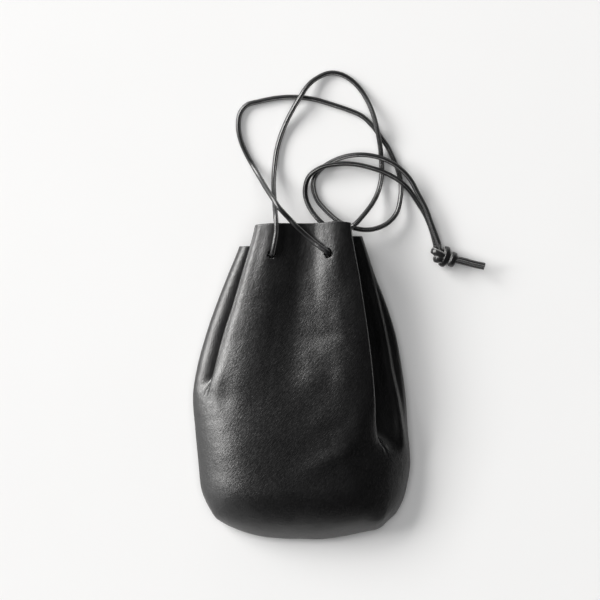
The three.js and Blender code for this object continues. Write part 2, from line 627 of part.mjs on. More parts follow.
const LEFT_ROUTE = [
  [-20.5, 4, 31.8], [-20.9, 9, 28], [-21.4, 14.5, 22.2], [-21.9, 21, 17], [-22.3, 29.7, 10],
  [-22.1, 37, 5.4], [-21.4, 46, 2.9], [-19.6, 58.5, 2.3], [-15.2, 72.9, 2.8], [-8.1, 88.1, 5.4],
  [-1.2, 99.7, 7.6], [4.5, 108.4, 6.2], [10.5, 114, 4.2], [20.4, 119, 2.6], [27.6, 119.3, 2.3],
  [36.2, 116.1, 2.3], [44.8, 108.9, 2.6], [51.9, 98.5, 4], [57, 86.8, 6.6], [60.4, 74, 7.6],
  [62.8, 61.1, 5], [63.8, 49.7, 2.6], [64.1, 38.5, 2.5], [62, 26.8, 4.2], [57.7, 16.9, 8.2],
  [50.5, 6.8, 13.4], [41.8, -2.4, 17.6], [33.2, -7.4, 15.4], [23.6, -5.6, 13.2], [14.8, 0.8, 11],
  [7.6, 9.7, 6.8], [3.4, 19.7, 3.6], [3.1, 28.1, 2.8], [6.2, 36.9, 4.8], [14.8, 43.3, 7.6],
  [26, 46.1, 7.6], [40.4, 46.5, 7.2], [53.2, 44.1, 7.4], [66, 39.7, 7.8], [77.7, 33.3, 8.2],
  [86, 25.7, 5.8], [93.2, 15.3, 3], [99.1, 5.7, 2.4], [103.4, -4.7, 2.3], [106.2, -14.3, 2.4],
  [107.2, -18.4, 2.6],
];

const RIGHT_ROUTE = [
  [-9.5, 2, 31.3], [-13.8, 6.6, 31.4], [-18, 11.3, 30.6], [-22.3, 17.8, 26.9], [-26.8, 24.6, 20.2],
  [-31.2, 32, 12.6], [-35.2, 38.9, 6.8], [-38.9, 45.4, 3.6], [-43.4, 53.4, 2.3], [-48.1, 64.1, 2.3],
  [-50.5, 75.3, 2.3], [-49.2, 86.8, 2.3], [-43.8, 93.7, 2.3], [-34, 96.6, 2.3], [-19.6, 99.4, 2.3],
  [-5.2, 100.1, 2.3], [9.2, 98.5, 2.3], [23.4, 94.5, 2.3], [37.7, 89.7, 2.3], [48.2, 85, 2.3],
  [56.2, 77.7, 2.3], [63.4, 68.1, 2.3], [69.2, 59.7, 2.3], [73.2, 51.3, 2.3], [77.3, 40.9, 2.3],
  [79.4, 31.3, 2.3], [79.1, 19.7, 4.4], [75.6, 6.8, 8], [67.6, -1.5, 10.6], [57.7, -5.5, 12],
  [49.2, -6, 12.5], [41.2, -4.4, 12.5], [34.8, -2.2, 12], [29.2, 1, 10.4], [20.4, 8.6, 6.4],
  [13.2, 16.9, 3.4], [9.8, 25.7, 2.3], [9.8, 34, 2.3], [13.2, 40.1, 2.3], [18.5, 45, 2.4],
  [24.8, 48.7, 2.8], [34.8, 52.4, 5.2], [46, 53.9, 7.6], [57.7, 52.8, 8], [67.6, 49.7, 8],
  [76.6, 44.5, 7.8], [86, 35.3, 7.2], [93.2, 22.5, 7], [99.1, 11.3, 7.1], [103.4, -0.3, 7.2],
  [107.6, -11.4, 7.2], [109.9, -17.7, 7],
];

function strandRoute(hole, onLeather, route) {
  const start = hole[0].clone();
  const out = new THREE.Vector3().subVectors(hole[0], hole[1]).normalize();
  start.addScaledVector(out, LACE_END_GAP);
  const clear = start.clone().addScaledVector(out, STRAIGHT_OUT);
  const leather = onLeather.map(([x, past]) => {
    const z = frontSkinHeight(x, -past) + LACE_RADIUS + LEATHER_CLEARANCE;
    return new THREE.Vector3(x, RIM_Y + past, z);
  });
  const free = route.map(([x, past, z]) => new THREE.Vector3(x, RIM_Y + past, z));
  return [start, clear, ...leather, ...free];
}

// Overhand knot of both strands. Its own frame: "along" from the strands to the tails, "aside" to the left
// of that, and up, from the knot's middle.
const KNOT = { x: 114.4, past: -26.7, z: 6.1, turn: -30.2 };
const KNOT_CORES = [
  [[-10, 3, -3.5], [-8.6, 1, -3.4], [-5, 0, -2.8], [2, -0.2, -2], [10, 0.4, -1.9]],
  [[-8, 5.1, 0.9], [-6.6, 3, 1], [-3, 1.8, 1.6], [3, 1.6, 2], [10, 2.2, 2.3]],
];
const KNOT_RINGS = [
  { along: -3, aside: -1, tilt: 12, wide: 6.6, high: 3.9 },
  { along: 2.4, aside: -0.6, tilt: 13, wide: 5.6, high: 3.9 },
];
const KNOT_BIGHTS = [
  [[-2.5, 4, 3.4], [-7, 2.6, 3.2], [-10.2, 0.4, 1], [-9.4, -1.8, -2], [-5, -2.6, -3.2]],
  [[-1.5, -5.6, 2.8], [-5, -5.4, 2.6], [-7.6, -4.4, 0.4], [-6, -3.4, -2.4], [-2, -3, -3.2]],
];
const TAIL_LEFT = [[124.3, -30.9, 4.4], [131, -32.6, 4.8], [138.6, -34.6, 5.4], [146, -36.2, 6.2]];
const TAIL_RIGHT = [[124.9, -29.1, 8.7], [131.6, -30.8, 9.1], [139, -32.8, 9.7], [146.5, -34.4, 10.5]];

// A short round cutter along the lace's route, where it passes a wall
function holeCutter(from, to, reach) {
  const direction = new THREE.Vector3().subVectors(to, from).normalize();
  const start = from.clone().addScaledVector(direction, -reach);
  const end = to.clone().addScaledVector(direction, reach);
  return tube([start, end], HOLE_DIAMETER, 1, HOLE_SIDES);
}

function makeFrontPanel() {
  const skin = skinGrid(frontStations, frontCuts);
  let panel = toManifold(wallFromSkin(skin, 1));
  const last = gatherRoute.length - 1;
  const cuts = [
    holeCutter(gatherRoute[0], gatherRoute[1], HOLE_CUT_REACH),
    holeCutter(gatherRoute[3], gatherRoute[4], 0.7 * HOLE_CUT_REACH),
    holeCutter(gatherRoute[last - 4], gatherRoute[last - 3], 0.7 * HOLE_CUT_REACH),
    holeCutter(gatherRoute[last - 1], gatherRoute[last], HOLE_CUT_REACH),
  ];
  for (const cut of cuts) panel = panel.subtract(toManifold(cut));
  return fromManifold(panel);
}

function makeBackPanel() {
  const skin = skinGrid(backStations, () => 1);
  return wallFromSkin(skin, -1);
}

// Knot

const knotTurn = THREE.MathUtils.degToRad(KNOT.turn);

function knotPoint([along, aside, up]) {
  return new THREE.Vector3(
    KNOT.x + along * Math.cos(knotTurn) - aside * Math.sin(knotTurn),
    RIM_Y + KNOT.past + along * Math.sin(knotTurn) + aside * Math.cos(knotTurn),
    KNOT.z + up,
  );
}

// One turn round the strands inside the knot, run on a little past its start so that the ends overlap
function ringRoute(ring) {
  const tilt = THREE.MathUtils.degToRad(ring.tilt);
  const turns = 14;
  const points = [];
  for (let index = 0; index <= turns + 1; index += 1) {
    const angle = (index / turns) * Math.PI * 2;
    const out = Math.cos(angle) * ring.wide;
    const along = ring.along - out * Math.sin(tilt);
    const aside = ring.aside + out * Math.cos(tilt);
    points.push(knotPoint([along, aside, Math.sin(angle) * ring.high]));
  }
  return points;
}

function makeKnot() {
  const routes = [
    ...KNOT_CORES.map((core) => core.map(knotPoint)),
    ...KNOT_BIGHTS.map((bight) => bight.map(knotPoint)),
    ...KNOT_RINGS.map(ringRoute),
  ];
  const laces = routes.map((route) => toManifold(tube(route, LACE_DIAMETER, route.length + 1, LACE_SIDES)));
  return fromManifold(laces.reduce((whole, lace) => whole.add(lace)));
}

const freeRoute = (points) => points.map(([x, past, z]) => new THREE.Vector3(x, RIM_Y + past, z));

const pouch = new THREE.Group();

function addPiece(name, geometry, material) {
  const mesh = new THREE.Mesh(geometry, material);
  mesh.name = name;
  pouch.add(mesh);
}

addPiece('front_panel', makeFrontPanel(), LEATHER);
addPiece('back_panel', makeBackPanel(), LEATHER);
addPiece('gather_lace', tube(gatherRoute, LACE_DIAMETER, GATHER_STEPS, LACE_SIDES), LACE_LEATHER);

const leftStrand = strandRoute(gatherLeft, LEFT_ON_LEATHER, LEFT_ROUTE);
const rightStrand = strandRoute(gatherRight, RIGHT_ON_LEATHER, RIGHT_ROUTE);
addPiece('strand_left', tube(leftStrand, LACE_DIAMETER, STRAND_STEPS, LACE_SIDES), LACE_LEATHER);
addPiece('strand_right', tube(rightStrand, LACE_DIAMETER, STRAND_STEPS, LACE_SIDES), LACE_LEATHER);
addPiece('knot', makeKnot(), LACE_LEATHER);
addPiece('tail_left', tube(freeRoute(TAIL_LEFT), LACE_DIAMETER, 2, LACE_SIDES), LACE_LEATHER);
addPiece('tail_right', tube(freeRoute(TAIL_RIGHT), LACE_DIAMETER, 2, LACE_SIDES), LACE_LEATHER);

export default pouch;
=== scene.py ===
# Leather drawstring pouch, lying on its back with the mouth gathered by one lace.
# Lengths are in metres. The front faces up, the mouth points to +Y, and z = 0 is the table.
import math
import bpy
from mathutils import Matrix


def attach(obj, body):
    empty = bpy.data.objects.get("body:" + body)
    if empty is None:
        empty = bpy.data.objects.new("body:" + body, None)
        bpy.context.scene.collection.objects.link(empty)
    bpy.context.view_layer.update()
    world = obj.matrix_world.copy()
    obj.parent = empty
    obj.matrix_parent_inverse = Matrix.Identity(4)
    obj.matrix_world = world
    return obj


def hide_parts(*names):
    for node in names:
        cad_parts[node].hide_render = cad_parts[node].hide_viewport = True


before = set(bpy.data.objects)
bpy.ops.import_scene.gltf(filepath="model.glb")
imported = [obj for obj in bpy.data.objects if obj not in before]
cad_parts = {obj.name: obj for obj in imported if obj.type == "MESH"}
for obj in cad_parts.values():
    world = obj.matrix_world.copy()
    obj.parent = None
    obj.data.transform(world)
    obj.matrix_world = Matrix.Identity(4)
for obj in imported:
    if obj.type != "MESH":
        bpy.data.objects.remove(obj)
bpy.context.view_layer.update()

from types import SimpleNamespace

import bpy
import numpy as np

MM = 0.001

# Overall sizes and the leather's
POUCH_LENGTH = 253 * MM
POUCH_WIDTH = 173.6 * MM
BELLY_DEPTH = 38 * MM
MOUTH_DEPTH = 25 * MM
MOUTH_LIFT = 9 * MM
WALL = 1.4 * MM
SEAM_GAP = 0.3 * MM
BOTTOM_TO_ORIGIN = 126.5 * MM
EDGE_ROUND = 0.42 * MM

# Pleats at the sides of the mouth
PLEAT_REACH = 22 * MM
PLEAT_GAP = 2.6 * MM
FOLD_ROUND = 1.6 * MM
VALLEY_TURN = 3 * MM
LIP_REACH = 5 * MM
LOBE_ROUND = 4 * MM

# Rim, measured down from the front rim
RIM_DROP_LEFT = 19.2 * MM
RIM_DROP_RIGHT = 11.2 * MM
RIM_DROP_BACK = 5 * MM

# Rounding towards the bottom seam
FRONT_TOE = 40 * MM
BACK_TOE = 14 * MM
FLAT_SHARE = 0.6

# Shares out from the middle line between which the back's rim drops to the sides'
BACK_RIM_START = 0.4
BACK_RIM_SPREAD = 0.35

# Form across the front: FULLNESS makes it boxier, OPEN_FULLNESS where the left pleat has opened, and
# EDGE_SHARE says how steeply the skin leaves a seam, from 0.5 for upright to 1 for a lens. The front leans
# up to the right between two shares of its width.
FULLNESS = 2.4
OPEN_FULLNESS = 3.2
RIGHT_FULLNESS = 3.6
EDGE_SHARE = 0.8
BACK_EDGE_SHARE = 0.5
LEAN_START = 0.5
LEAN_SPREAD = 0.45

# Lace and its holes
LACE_DIAMETER = 4 * MM
LACE_CLEARANCE = 0.3 * MM
LEATHER_CLEARANCE = 1.2 * MM
STRAIGHT_OUT = 3 * MM
HOLE_DIAMETER = 6.4 * MM
HOLE_BELOW_RIM = 25.6 * MM
HOLE_LEFT = 23.6 * MM
HOLE_RIGHT = 21.2 * MM
HOLE_CUT_REACH = 3 * MM
HIDDEN_REACH_SHARE = 0.7  # of HOLE_CUT_REACH, at the hidden holes of the pleats
PASS_INSET = 14.5 * MM
GATHER_SET_BACK = 2 * MM

RIM_Y = POUCH_LENGTH - BOTTOM_TO_ORIGIN
HALF_WIDTH = POUCH_WIDTH / 2
LACE_RADIUS = LACE_DIAMETER / 2
HOLE_Y = RIM_Y - HOLE_BELOW_RIM
BELLY_Y = RIM_Y - 0.6 * POUCH_LENGTH  # about where the pouch is widest

# Fineness of the meshes
FRONT_ROWS = 196
BACK_ROWS = 130
FRONT_STEP = 1.4 * MM
BACK_STEP = 1.8 * MM
EDGE_ANGLES = np.radians((30, 60, 90))  # places of a rounded edge's points
CURVE_CUTS = 24  # points on each span of a route, before they are spaced evenly
RING_POINTS = 14
HOLE_SIDES = 40

# Photograph's frame
PIXEL = 0.8 * MM
FRAME_WIDTH = 600 * PIXEL
FRAME_CENTRE = (-1.2 * MM, 64.4 * MM)
CAMERA_HEIGHT = 4.0


def table(names, *rows):
    """A table as one array for each named column."""
    return dict(zip(names.split(), np.array(rows, dtype=float).T))


# Side lines seen from the front, as shares of half of POUCH_WIDTH out from the middle line. "down" is the
# share of POUCH_LENGTH below the front rim. CORNER is where the side seams turn into the bottom seam.
CORNER = 0.92
LINES = table(
    "down leftEdge leftFold rightEdge rightFold",
    (0.0, 0.493, 0.419, 0.521, 0.452),
    (0.044, 0.539, 0.447, 0.558, 0.467),
    (0.089, 0.584, 0.484, 0.601, 0.49),
    (0.171, 0.682, 0.555, 0.68, 0.534),
    (0.262, 0.786, 0.633, 0.782, 0.576),
    (0.354, 0.878, 0.719, 0.865, 0.616),
    (0.455, 0.958, 0.797, 0.92, 0.652),
    (0.547, 0.998, 0.85, 0.957, 0.676),
    (0.645, 0.979, 0.86, 0.975, 0.69),
    (0.762, 0.947, 0.84, 0.998, 0.745),
    (0.838, 0.923, 0.81, 0.964, 0.79),
    (0.879, 0.882, 0.77, 0.929, 0.77),
    (CORNER, 0.817, 0.72, 0.866, 0.73),
)

# Bottom seam: its height above its lowest point as a share of POUCH_LENGTH, against the share of half of
# POUCH_WIDTH from the middle line, negative to the left
BOTTOM = table(
    "across up",
    (-0.817, 0.08), (-0.78, 0.0645), (-0.668, 0.042), (-0.558, 0.0265), (-0.415, 0.012),
    (-0.272, 0.0045), (-0.1, 0.002), (0.08, 0.001), (0.217, 0.0), (0.29, 0.004),
    (0.429, 0.012), (0.576, 0.0235), (0.714, 0.034), (0.784, 0.055), (0.866, 0.08),
)

# Heights: "neck" mixes from the belly's depth to the mouth's, "crown" is a share of BELLY_DEPTH, "lift" of
# MOUTH_LIFT, and "seam", the lobes and the front's "lean" up to the right are shares of the local depth
HEIGHTS = table(
    "down neck crown lift seam leftLobe rightLobe lean",
    (0.0, 1.0, 0.86, 1.0, 0.2, 0.46, 0.34, 0.28),
    (0.1, 0.9, 0.86, 0.72, 0.2, 0.46, 0.35, 0.28),
    (0.2, 0.6, 0.86, 0.42, 0.2, 0.46, 0.37, 0.26),
    (0.3, 0.25, 0.87, 0.16, 0.2, 0.46, 0.39, 0.24),
    (0.4, 0.05, 0.89, 0.0, 0.21, 0.46, 0.42, 0.22),
    (0.5, 0.0, 0.93, 0.0, 0.22, 0.47, 0.46, 0.17),
    (0.65, 0.0, 0.98, 0.0, 0.23, 0.49, 0.52, 0.1),
    (0.8, 0.0, 0.98, 0.0, 0.22, 0.5, 0.56, 0.05),
    (CORNER, 0.0, 0.94, 0.0, 0.22, 0.5, 0.58, 0.0),
)

# Front rim between the fold edges: how far it lies below its highest line, as a share of POUCH_LENGTH,
# against the share across
RIM = table(
    "share drop",
    (0, 0.0085), (0.08, 0.006), (0.18, 0.004), (0.65, 0.004), (0.84, -0.002), (1, 0.002),
)

# Pleats: "Closed" is 1 where the pleat is folded shut, "Reach" is a share of PLEAT_REACH, "Rise" the share
# of the way up to the front at which the fold edge stands, "lip" a share of LIP_REACH and "dip" a share of
# the local depth
PLEATS = table(
    "down leftClosed leftReach leftRise rightClosed rightReach rightRise lip dip",
    (0.0, 1, 1.0, 0.12, 1, 1.0, 0.9, 0.0, 0.0),
    (0.171, 1, 0.92, 0.12, 1, 0.95, 0.9, 0.1, 0.01),
    (0.262, 1, 0.75, 0.12, 1, 0.85, 0.9, 0.6, 0.03),
    (0.354, 1, 0.52, 0.12, 1, 0.7, 0.88, 0.95, 0.05),
    (0.455, 0.9, 0.28, 0.2, 1, 0.55, 0.85, 1.0, 0.07),
    (0.52, 0.35, 0.14, 0.3, 1, 0.45, 0.8, 0.8, 0.08),
    (0.56, 0.0, 0.08, 0.3, 1, 0.4, 0.7, 0.6, 0.09),
    (0.645, 0.0, 0.08, 0.3, 0.8, 0.28, 0.45, 0.2, 0.08),
    (0.7, 0.0, 0.08, 0.3, 0.28, 0.18, 0.2, 0.0, 0.05),
    (0.745, 0.0, 0.08, 0.3, 0.0, 0.1, 0.1, 0.0, 0.0),
    (CORNER, 0.0, 0.08, 0.3, 0.0, 0.1, 0.1, 0.0, 0.0),
)

# Dents and swells of the front leather: centre and reach as shares of half of POUCH_WIDTH and of
# POUCH_LENGTH, slant in degrees, rise as a share of BELLY_DEPTH, negative for a dent
RELIEF = {
    "mouth_valley": (0.04, 0.03, 0.14, 0.16, 0, -0.05),
    "valley_run": (-0.08, 0.26, 0.15, 0.17, -14, -0.045),
    "left_ridge": (-0.29, 0.08, 0.08, 0.13, -8, 0.03),
    "right_ridge": (0.39, 0.05, 0.11, 0.11, -15, 0.028),
    "under_hole": (0.29, 0.17, 0.09, 0.08, -8, 0.02),
    "right_breast": (0.42, 0.26, 0.12, 0.08, -10, 0.024),
    "middle_swell": (0.22, 0.41, 0.2, 0.04, 0, 0.02),
    "left_swell": (-0.64, 0.72, 0.2, 0.09, 0, 0.018),
    "slant_band": (0.28, 0.74, 0.07, 0.11, -59, 0.034),
}

# Finer folds of the same leather, in the same terms
FOLDS = {
    "cross_crease": (0.2, 0.36, 0.2, 0.02, 8, -0.01),
    "middle_streak": (0.045, 0.515, 0.065, 0.075, -16, 0.04),
    "right_blob": (0.45, 0.47, 0.075, 0.045, 0, 0.016),
    "right_streak": (0.57, 0.6, 0.05, 0.055, -15, 0.03),
    "low_ridge": (0.484, 0.71, 0.06, 0.075, 0, 0.034),
    "low_ridge_foot": (0.56, 0.72, 0.06, 0.08, 0, -0.015),
    "slant_dent": (0.245, 0.66, 0.07, 0.08, -55, -0.02),
    "left_dent": (-0.66, 0.55, 0.07, 0.055, -8, -0.03),
    "left_crest": (-0.5, 0.51, 0.075, 0.063, 0, 0.016),
    "left_slant": (-0.49, 0.59, 0.05, 0.05, -30, -0.013),
    "bottom_streak": (0.56, 0.92, 0.045, 0.045, -45, 0.014),
    "right_slope": (0.44, 0.45, 0.24, 0.14, -8, 0.045),
    "middle_trough": (-0.15, 0.42, 0.1, 0.12, -10, -0.02),
    "pleat_end_bump": (0.806, 0.765, 0.1, 0.03, 0, 0.02),
    "upper_dimple": (-0.88, 0.49, 0.06, 0.008, 25, -0.012),
    "lower_dimple": (-0.88, 0.53, 0.06, 0.008, -25, -0.012),
}


def mix(a, b, share):
    return a + (b - a) * share


def smooth(value):
    held = np.clip(value, 0, 1)
    return held ** 2 * (3 - 2 * held)


def read(columns, key, column, at):
    """One column of a table at places between its rows, on a smooth curve through the rows."""
    keys = columns[key]
    values = columns[column]
    last = len(keys) - 1
    place = np.clip(at, keys[0], keys[last])
    row = np.clip(np.searchsorted(keys, place, side="left") - 1, 0, last - 1)
    before = np.maximum(row - 1, 0)
    after = np.minimum(row + 2, last)
    span = keys[row + 1] - keys[row]
    share = (place - keys[row]) / span
    start_slope = (values[row + 1] - values[before]) / (keys[row + 1] - keys[before])
    end_slope = (values[after] - values[row]) / (keys[after] - keys[row])
    square = share * share
    cube = square * share
    return ((2 * cube - 3 * square + 1) * values[row]
            + (cube - 2 * square + share) * span * start_slope
            + (3 * square - 2 * cube) * values[row + 1]
            + (cube - square) * span * end_slope)


def rim_drop_at(share):
    return read(RIM, "share", "drop", share) * POUCH_LENGTH


def line_at(column, down):
    return read(LINES, "down", column, down) * HALF_WIDTH


def bottom_up(x):
    return read(BOTTOM, "across", "up", np.asarray(x) / HALF_WIDTH) * POUCH_LENGTH


def levels_at(down):
    """Heights over the table at one distance below the rim."""
    back = MOUTH_LIFT * np.maximum(0, read(HEIGHTS, "down", "lift", down))
    belly = BELLY_DEPTH * read(HEIGHTS, "down", "crown", down)
    crown = mix(belly, MOUTH_LIFT + MOUTH_DEPTH, read(HEIGHTS, "down", "neck", down))
    depth = crown - back
    seam = back + depth * read(HEIGHTS, "down", "seam", down)
    lean = depth * read(HEIGHTS, "down", "lean", down)
    return SimpleNamespace(back=back, crown=crown, depth=depth, seam=seam, lean=lean)


def relief_at(x, down):
    rise = 0
    for across, centre, wide_reach, long_reach, slant, height in [*RELIEF.values(), *FOLDS.values()]:
        angle = math.radians(slant)
        dx = x - across * HALF_WIDTH
        dy = (centre - down) * POUCH_LENGTH
        wide = (dx * math.cos(angle) + dy * math.sin(angle)) / (wide_reach * HALF_WIDTH)
        long = (dy * math.cos(angle) - dx * math.sin(angle)) / (long_reach * POUCH_LENGTH)
        rise = rise + height * BELLY_DEPTH * np.exp(-wide * wide - long * long)
    return rise


def arch(share, left, right):
    """Rounded profile across the pouch: 0 at both ends of the share, 1 over the middle."""
    out = np.minimum(1, np.abs(2 * share - 1))
    return (1 - out ** mix(left, right, smooth(share))) ** EDGE_SHARE


def lean_at(share):
    """Share of the lean across the front: it stays low on the left and stands high on the right."""
    return smooth((share - LEAN_START) / LEAN_SPREAD) - 0.5


def toe(distance, reach, edge_share):
    """Rounding towards the bottom seam: 0 on the seam, 1 from "reach" away from it."""
    left = 1 - np.clip(distance / reach, 0, 1)
    return (1 - left * left) ** edge_share


def lower(first, second):
    """Two roundings at once, where the lower one rules."""
    one = first * first
    two = second * second
    return first * second / np.sqrt(np.maximum(1e-12, one + two - one * two))


def down_of(rim_drop, bottom_x, row):
    """Place of a row's share on one line of the skin, which runs from the rim to the bottom seam."""
    rim = rim_drop / POUCH_LENGTH
    bottom = 1 - bottom_up(bottom_x) / POUCH_LENGTH
    down = mix(rim, bottom, row)
    lookup = down - (bottom - CORNER) * row ** 3
    to_seam = (bottom - down) * POUCH_LENGTH
    return SimpleNamespace(down=down, lookup=lookup, to_seam=to_seam, y=RIM_Y - down * POUCH_LENGTH)


def open_front(x, place):
    """Height of the front skin without pleats."""
    levels = levels_at(place.lookup)
    left = -line_at("leftEdge", place.lookup)
    right = line_at("rightEdge", place.lookup)
    share = (x - left) / (right - left)
    swell = lower(arch(share, OPEN_FULLNESS, FULLNESS), toe(place.to_seam, FRONT_TOE, EDGE_SHARE))
    seam = levels.seam + SEAM_GAP / 2
    crown = levels.crown + levels.lean * lean_at(share)
    return mix(seam, crown, swell) + relief_at(x, place.down) * swell


def pleat_at(side, down):
    """What one side's pleat needs at one distance below the rim, with x counted outwards."""
    name = "left" if side < 0 else "right"
    levels = levels_at(down)
    edge = line_at(name + "Edge", down)
    fold = line_at(name + "Fold", down)
    reach = PLEAT_REACH * read(PLEATS, "down", name + "Reach", down)
    lobe = levels.back + levels.depth * read(HEIGHTS, "down", name + "Lobe", down)
    lip = LIP_REACH * np.clip(read(PLEATS, "down", "lip", down), 0, 1)
    under = lobe + PLEAT_GAP
    top = mix(under, levels.crown + side * levels.lean / 2, read(PLEATS, "down", name + "Rise", down))
    return SimpleNamespace(
        levels=levels,
        edge=edge,
        fold=fold,
        valley=fold - reach,
        lobe=lobe,
        lip=lip,
        round=np.minimum(LOBE_ROUND, 0.3 * (edge - lip - fold)),
        dip=levels.depth * np.clip(read(PLEATS, "down", "dip", down), 0, 1),
        under=under,
        top=np.maximum(top, under + FOLD_ROUND),
        turn=np.minimum(VALLEY_TURN, reach * 0.4),
        closed=smooth(read(PLEATS, "down", name + "Closed", down)),
        seam=levels.seam + SEAM_GAP / 2,
    )


def roll(pleat, degrees):
    """Place on the left lobe's round side, from the seam at 0 degrees to the fold edge at 90."""
    angle = math.radians(degrees)
    return mix(pleat.fold, pleat.edge, math.cos(angle)), mix(pleat.seam, pleat.lobe, math.sin(angle))


# Stations of a pleat from the seam inwards: share of the side's rim drop, share of the way from the seam to
# the fold edge once the pleat has opened, and the place (x, z) when shut
LEFT_PLEAT = [
    (1, 0.0, lambda p: (p.edge, p.seam)),
    (1, 0.15, lambda p: roll(p, 16)),
    (1, 0.21, lambda p: roll(p, 34)),
    (1, 0.33, lambda p: roll(p, 53)),
    (1, 0.46, lambda p: roll(p, 72)),
    (1, 0.58, lambda p: roll(p, 90)),
    (1, 0.68, lambda p: (p.valley + p.turn, p.lobe)),
    (0.8, 0.76, lambda p: (p.valley, mix(p.lobe, p.under, 0.5))),
    (0.5, 0.82, lambda p: (p.valley + p.turn, p.under)),
    (0.06, 0.89, lambda p: (p.fold - 1.5 * FOLD_ROUND, p.under)),
    (0.02, 0.95, lambda p: (p.fold, mix(p.under, p.top, 0.5))),
    (0.0, 1.0, lambda p: (p.fold - 0.6 * FOLD_ROUND, p.top)),
]
RIGHT_PLEAT = [
    (1, 0.0, lambda p: (p.edge, p.seam)),
    (1, 0.15, lambda p: (p.edge - 0.1 * p.round - 0.3 * p.lip, mix(p.seam, p.lobe, 0.28))),
    (1, 0.2, lambda p: (p.edge - 0.3 * p.round - 1.2 * p.lip, mix(p.seam, p.lobe, 0.55))),
    (1, 0.3, lambda p: (p.edge - 0.7 * p.round - p.lip, mix(p.seam, p.lobe, 0.85))),
    (1, 0.42, lambda p: (p.edge - 1.5 * p.round - 1.2 * p.lip, p.lobe)),
    (1, 0.55, lambda p: (mix(p.edge - p.lip, p.fold, 0.75), p.lobe - p.dip)),
    (1, 0.66, lambda p: (p.valley + p.turn, p.lobe - 0.5 * p.dip)),
    (0.8, 0.74, lambda p: (p.valley, mix(p.lobe - 0.5 * p.dip, p.under, 0.5))),
    (0.5, 0.8, lambda p: (p.valley + p.turn, p.under)),
    (0.2, 0.84, lambda p: (p.fold - 2.8 * FOLD_ROUND, mix(p.under, p.top, 0.05))),
    (0.06, 0.88, lambda p: (p.fold - 1.2 * FOLD_ROUND, mix(p.under, p.top, 0.5))),
    (0.02, 0.94, lambda p: (p.fold - 0.1 * FOLD_ROUND, p.top - 1.1 * FOLD_ROUND)),
    (0.0, 1.0, lambda p: (p.fold - 0.5 * FOLD_ROUND, p.top - 0.1 * FOLD_ROUND)),
]

# Stations of the front lobe between its two fold edges and of the back between its seams, as shares across
LOBE_STATIONS = (0.04, 0.1, 0.18, 0.27, 0.37, 0.49, 0.61, 0.72, 0.82, 0.9, 0.965)
BACK_STATIONS = (
    0, 0.006, 0.02, 0.045, 0.085, 0.14, 0.2, 0.35, 0.5, 0.65, 0.8, 0.86, 0.915, 0.955, 0.98, 0.994, 1,
)

# Rows from the rim to the bottom seam, closer together where the skin curves
ROWS = np.array([
    0, 0.045, 0.09, 0.14, 0.19, 0.24, 0.29, 0.34, 0.39, 0.435, 0.475, 0.51, 0.545, 0.58, 0.62, 0.66, 0.7,
    0.74, 0.78, 0.82, 0.86, 0.895, 0.925, 0.95, 0.97, 0.985, 0.995, 1,
])


def pleat_station(station, side, row):
    drop, opened, shut = station
    name = "left" if side < 0 else "right"
    side_drop = RIM_DROP_LEFT if side < 0 else RIM_DROP_RIGHT
    rim_drop = mix(rim_drop_at(0 if side < 0 else 1), side_drop, drop)
    spread = 1 - math.cos(opened * math.pi / 2)
    corner_x = mix(line_at(name + "Edge", CORNER), line_at(name + "Fold", CORNER), spread)
    place = down_of(rim_drop, side * corner_x, row)
    pleat = pleat_at(side, place.lookup)
    open_x = mix(pleat.edge, pleat.fold, spread)
    shut_x, shut_z = shut(pleat)
    x = side * mix(open_x, shut_x, pleat.closed)
    z = mix(open_front(side * open_x, place), shut_z, pleat.closed)
    return np.stack([x, place.y, z], axis=-1)


def shut_front(left, right, share, x, down):
    """Height of the front lobe's skin where both pleats are shut."""
    fold_top = mix(left.top, right.top, share)
    crown = left.levels.crown + left.levels.lean * lean_at(share)
    swell = arch(share, FULLNESS, RIGHT_FULLNESS)
    return mix(fold_top, crown, swell) + relief_at(x, down) * swell


def lobe_station(share, row):
    corner_x = mix(-line_at("leftFold", CORNER), line_at("rightFold", CORNER), share)
    place = down_of(rim_drop_at(share), corner_x, row)
    left = pleat_at(-1, place.lookup)
    right = pleat_at(1, place.lookup)
    x = mix(-left.fold, right.fold, share)
    closed = mix(left.closed, right.closed, smooth(share))
    z = mix(open_front(x, place), shut_front(left, right, share, x, place.down), closed)
    return np.stack([x, place.y, z], axis=-1)


def back_station(share, row):
    side_drop = RIM_DROP_LEFT if share < 0.5 else RIM_DROP_RIGHT
    out = abs(2 * share - 1)
    rim_drop = mix(RIM_DROP_BACK, side_drop, smooth((out - BACK_RIM_START) / BACK_RIM_SPREAD))
    corner_x = mix(-line_at("leftEdge", CORNER), line_at("rightEdge", CORNER), share)
    place = down_of(rim_drop, corner_x, row)
    levels = levels_at(place.lookup)
    x = mix(-line_at("leftEdge", place.lookup), line_at("rightEdge", place.lookup), share)
    rising = np.clip((out - FLAT_SHARE) / (1 - FLAT_SHARE), 0, 1) ** 3
    flat = np.sqrt(1 - rising) * toe(place.to_seam, BACK_TOE, BACK_EDGE_SHARE)
    return np.stack([x, place.y, mix(levels.seam - SEAM_GAP / 2, levels.back, flat)], axis=-1)


